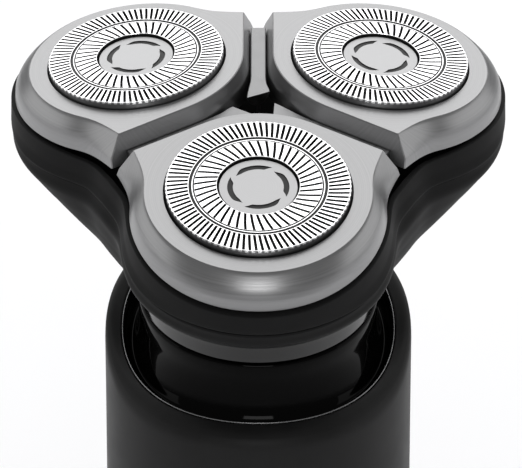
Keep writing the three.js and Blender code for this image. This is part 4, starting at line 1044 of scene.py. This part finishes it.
def cap_rows():
    """Rows of the cap's skin: radius, height, the ring of slots that is open there, and the next look."""
    groove = -GROOVE_DEPTH
    # The seat under the disc is near-black, which is painted shade.
    rows = [
        (0, -SEAT_DEPTH, None, "dark"), (SEAT_RADIUS, -SEAT_DEPTH, None, "dark"),
        (SEAT_RADIUS, -0.06, None, "steel"), (SEAT_RADIUS + 0.04, 0, None, "steel"), (5.2, 0, None, "steel"),
        (5.22, 0, "inner", "steel"), (6.6, 0, "inner", "steel"), (7.88, 0, "inner", "end"),
        (7.9, 0, None, "steel"), (GROOVE[0], 0, None, "groove"), (GROOVE[0] + STEP, groove, None, "groove"),
        (GROOVE_RIDGE[0] - STEP, groove, None, "groove"), (GROOVE_RIDGE[0], RIDGE_TOP, None, "steel"),
        (GROOVE_RIDGE[1], RIDGE_TOP, None, "groove"), (GROOVE_RIDGE[1] + STEP, groove, None, "groove"),
        (GROOVE[1] - STEP, groove, None, "groove"), (GROOVE[1], 0, None, "steel"), (8.7, 0, None, "steel"),
        (8.72, 0, "outer", "steel"), (9.9, 0, "outer", "steel"), (SLOT_END, 0, "outer", "end"),
        (SLOT_END + STEP, 0, None, "steel"), (CUTTER_RADIUS - CUTTER_EDGE, 0, None, "teeth"),
    ]
    for angle in np.linspace(0, TURN / 4, 4)[1:]:
        radius = CUTTER_RADIUS - CUTTER_EDGE + CUTTER_EDGE * math.sin(angle)
        rows.append((radius, CUTTER_EDGE * (math.cos(angle) - 1), None, "teeth"))
    # The skirt and the inside take the darker side steel, which is painted shade.
    skirt_and_inside = [
        (CUTTER_RADIUS, -0.3), (CUTTER_RADIUS + STEP, -1.6), (CAP_SKIRT, -2.1), (CAP_SKIRT, SKIRT_BOTTOM),
        (CAP_FLANGE, SKIRT_BOTTOM), (CAP_FLANGE, CAP_BOTTOM), (11.2, CAP_BOTTOM), (11.0, -1.2), (5.6, -1.2),
        (5.4, -1.55), (0, -1.55),
    ]
    return rows + [(radius, height, None, "side") for radius, height in skirt_and_inside]


def slot_is_open(ring, sector):
    """The outer ring has a slot in every sector, and the inner ring in every second one."""
    return ring == "outer" or (ring == "inner" and sector % 2 == 0)


def cap_grid(rows):
    grid = np.zeros((len(rows), OUTER_SLOTS * CAP_COLUMNS, 3))
    for number, (radius, height, ring, _) in enumerate(rows):
        spread = max(radius, SEAT_RADIUS)
        wall = SLOT_WALL / spread
        for sector in range(OUTER_SLOTS):
            is_inner_slot = radius < GROOVE[0] and sector % 2 == 0
            half = (INNER_SLOT_WIDTH if is_inner_slot else OUTER_SLOT_WIDTH) / 2 / spread
            offsets = [-half, wall - half, half - wall, half, TURN / OUTER_SLOTS / 2]
            for column, offset in enumerate(offsets):
                angle = sector * TURN / OUTER_SLOTS + offset + slot_skew(radius)
                is_floor = slot_is_open(ring, sector) and column in SLOT_FLOOR_COLUMNS
                place = (radius * math.cos(angle), radius * math.sin(angle), height - SLOT_DEPTH * is_floor)
                grid[number, sector * CAP_COLUMNS + column] = place
    return grid


def cap_face_look(number, rows):
    """The look of a face, by its row and by where it lies in its sector."""
    row, place = divmod(number, OUTER_SLOTS * CAP_COLUMNS)
    sector, column = divmod(place, CAP_COLUMNS)
    _, _, ring, look = rows[row]
    in_slot = column in SLOT_COLUMNS
    # Over the rounded edge the slots are not cut: their columns take the darker side steel, as painted shade.
    if look == "teeth":
        look = "side" if in_slot else "steel"
    elif look == "end":
        look = "steel"
    # Open slots take the near-black look, painted shade over their floors and walls.
    elif look == "steel" and in_slot and slot_is_open(ring, sector):
        look = "dark"
    return list(CAP_LOOKS).index(look)


def make_cap(index):
    """The outer cutter, with two rings of skewed slots."""
    rows = cap_rows()
    grid = cap_grid(rows)
    faces = grid_faces(*grid.shape[:2], False)
    looks = [cap_face_look(number, rows) for number in range(len(faces))]
    materials = [LOOKS[look] for look in CAP_LOOKS.values()]
    number = index + 1
    cap = make_piece(f"slotted_cap_{number}", grid, faces, materials, looks, PETALS_METRES[index], crease=30)
    assign(cap, f"cutter_{number}", [f"cutter_cap_{number}"])


def arc_edges(share):
    """Inner and outer radius of an arc groove, at a share of its length. Both of its ends are points."""
    outer = lerp(ARC_OUTER, ARC_POINT, smoothstep(0.72, 1.0, share))
    inner = lerp(ARC_INNER, ARC_OUTER, 1 - smoothstep(0, 0.2, share))
    inner = lerp(inner, ARC_POINT, smoothstep(0.82, 1.0, share))
    return min(inner, outer), outer


def disc_profile(angle):
    """The disc's profile at an angle, and whether an arc is let into it there."""
    share = ((angle - ARC_START) % (TURN / DISC_ARCS)) / ARC_SPAN
    inner, outer = arc_edges(share) if share <= 1 else (ARC_POINT, ARC_POINT)
    has_arc = share <= 1 and outer - inner > STEP
    floor = DISC_TOP - ARC_DEPTH * has_arc
    profile = [
        (0, DISC_TOP), (1.6, DISC_TOP), (2.9, DISC_TOP), (inner - STEP, DISC_TOP), (inner, floor),
        (lerp(inner, outer, 0.35), floor), (lerp(inner, outer, 0.65), floor), (outer, floor),
        (outer + STEP, DISC_TOP), (4.1, DISC_TOP), (DISC_RADIUS - 0.12, DISC_TOP),
        (DISC_RADIUS, DISC_TOP - 0.1), (DISC_RADIUS, DISC_BOTTOM), (0, DISC_BOTTOM),
    ]
    return profile, has_arc


def make_disc(index):
    """The trim disc in the middle of the cutter, with four dark arcs let into it."""
    columns = []
    inlaid = []
    for angle in even_angles(DISC_COLUMNS):
        profile, has_arc = disc_profile(angle)
        across, along = math.cos(angle), math.sin(angle)
        columns.append([(radius * across, radius * along, height) for radius, height in profile])
        inlaid.append([has_arc and row in ARC_FLOOR_ROWS for row in range(len(profile))])
    grid = np.array(columns).swapaxes(0, 1)
    faces = grid_faces(*grid.shape[:2], False)
    is_inlaid = np.array(inlaid).T.reshape(-1)
    looks = [1 if is_inlaid[list(face)].sum() >= 2 else 0 for face in faces]
    number = index + 1
    disc = make_piece(
        f"trim_disc_{number}", grid, faces, [LOOKS["disc_metal"], LOOKS["disc_arcs"]], looks,
        matrix=PETALS_METRES[index], crease=30,
    )
    assign(disc, f"cutter_{number}", [f"cap_disc_{number}"])


# ---- Stage ----


def make_floor():
    """A pale floor that curves up into a backdrop far behind."""
    width, depth = 6.0, 3.0
    knots = [(-depth, 0), (0, 0), (depth - 0.6, 0), (depth - 0.1, 0.35), (depth, 1.2), (depth, 4)]
    line = smooth_line(knots, 8)
    points = [(side * width, y, z) for y, z in line for side in (-1, 1)]
    faces = [(2 * row, 2 * row + 1, 2 * row + 3, 2 * row + 2) for row in range(len(line) - 1)]
    mesh = bpy.data.meshes.new("floor")
    mesh.from_pydata(points, [], faces)
    mesh.shade_smooth()
    look = Look("floor", grey(0.96), 0.9)
    look.vary(look.noise(3), (0.85, 0.95), (grey(0.95), grey(0.97)))
    mesh.materials.append(look.material)
    floor = bpy.data.objects.new("floor", mesh)
    bpy.context.scene.collection.objects.link(floor)


def make_light(name, place, target, size, power):
    data = bpy.data.lights.new(name, "AREA")
    data.shape = "RECTANGLE"
    data.size, data.size_y = size
    data.energy = power
    light = bpy.data.objects.new(name, data)
    light.location = place
    light.rotation_euler = (Vector(target) - Vector(place)).to_track_quat("-Z", "Y").to_euler()
    bpy.context.scene.collection.objects.link(light)


def make_lights():
    """A large soft light above and behind, a strip on each side, a small one in front, and a dim world."""
    head = (0, 0, 0.15)
    make_light("top", (0, 0.72, 1.1), head, (2.0, 1.5), 17)
    make_light("left", (-0.7, 0.1, 0.3), head, (0.8, 0.4), 0.9)
    make_light("right", (0.7, 0.1, 0.3), head, (0.8, 0.4), 0.9)
    make_light("front", (0, -0.86, 0.43), head, (0.36, 0.2), 1.1)
    world = bpy.data.worlds.new("studio")
    world.use_nodes = True
    world.node_tree.nodes["Background"].inputs["Color"].default_value = (1, 1, 1, 1)
    world.node_tree.nodes["Background"].inputs["Strength"].default_value = 0.3
    bpy.context.scene.world = world


def make_camera():
    """The camera looks down at the head, at 36.2 degrees to the plane of its cutters."""
    distance, elevation = 0.3662, math.radians(36.19)
    # The view is turned a little from the head's centre, so that the whole object is framed without a shift.
    across, down = math.radians(0.05421), math.radians(2.76656)
    backwards = Vector((0, -math.cos(elevation), math.sin(elevation)))
    data = bpy.data.cameras.new("camera")
    data.sensor_width = 36
    data.lens = 196.8069
    data.clip_start = 0.01
    data.clip_end = 50
    camera = bpy.data.objects.new("camera", data)
    bpy.context.scene.collection.objects.link(camera)
    place = HEAD_METRES @ (backwards * distance)
    turn = (HEAD_METRES.to_3x3() @ backwards).to_track_quat("Z", "Y").to_matrix()
    aim = turn @ Matrix.Rotation(-across, 3, "Y") @ Matrix.Rotation(-down, 3, "X")
    camera.matrix_world = Matrix.Translation(place) @ aim.to_4x4()
    bpy.context.scene.camera = camera


dress_cad_nodes()
make_handle()
make_base()
make_rim_ring()
make_neck()
make_button()
make_window()
make_socket()
make_deck()
make_base_of_head()
make_spider()
for petal_index in range(LOBES):
    make_petal(petal_index)
    make_cap(petal_index)
    make_disc(petal_index)
make_floor()
make_lights()
make_camera()
bpy.context.scene.view_settings.view_transform = "Standard"
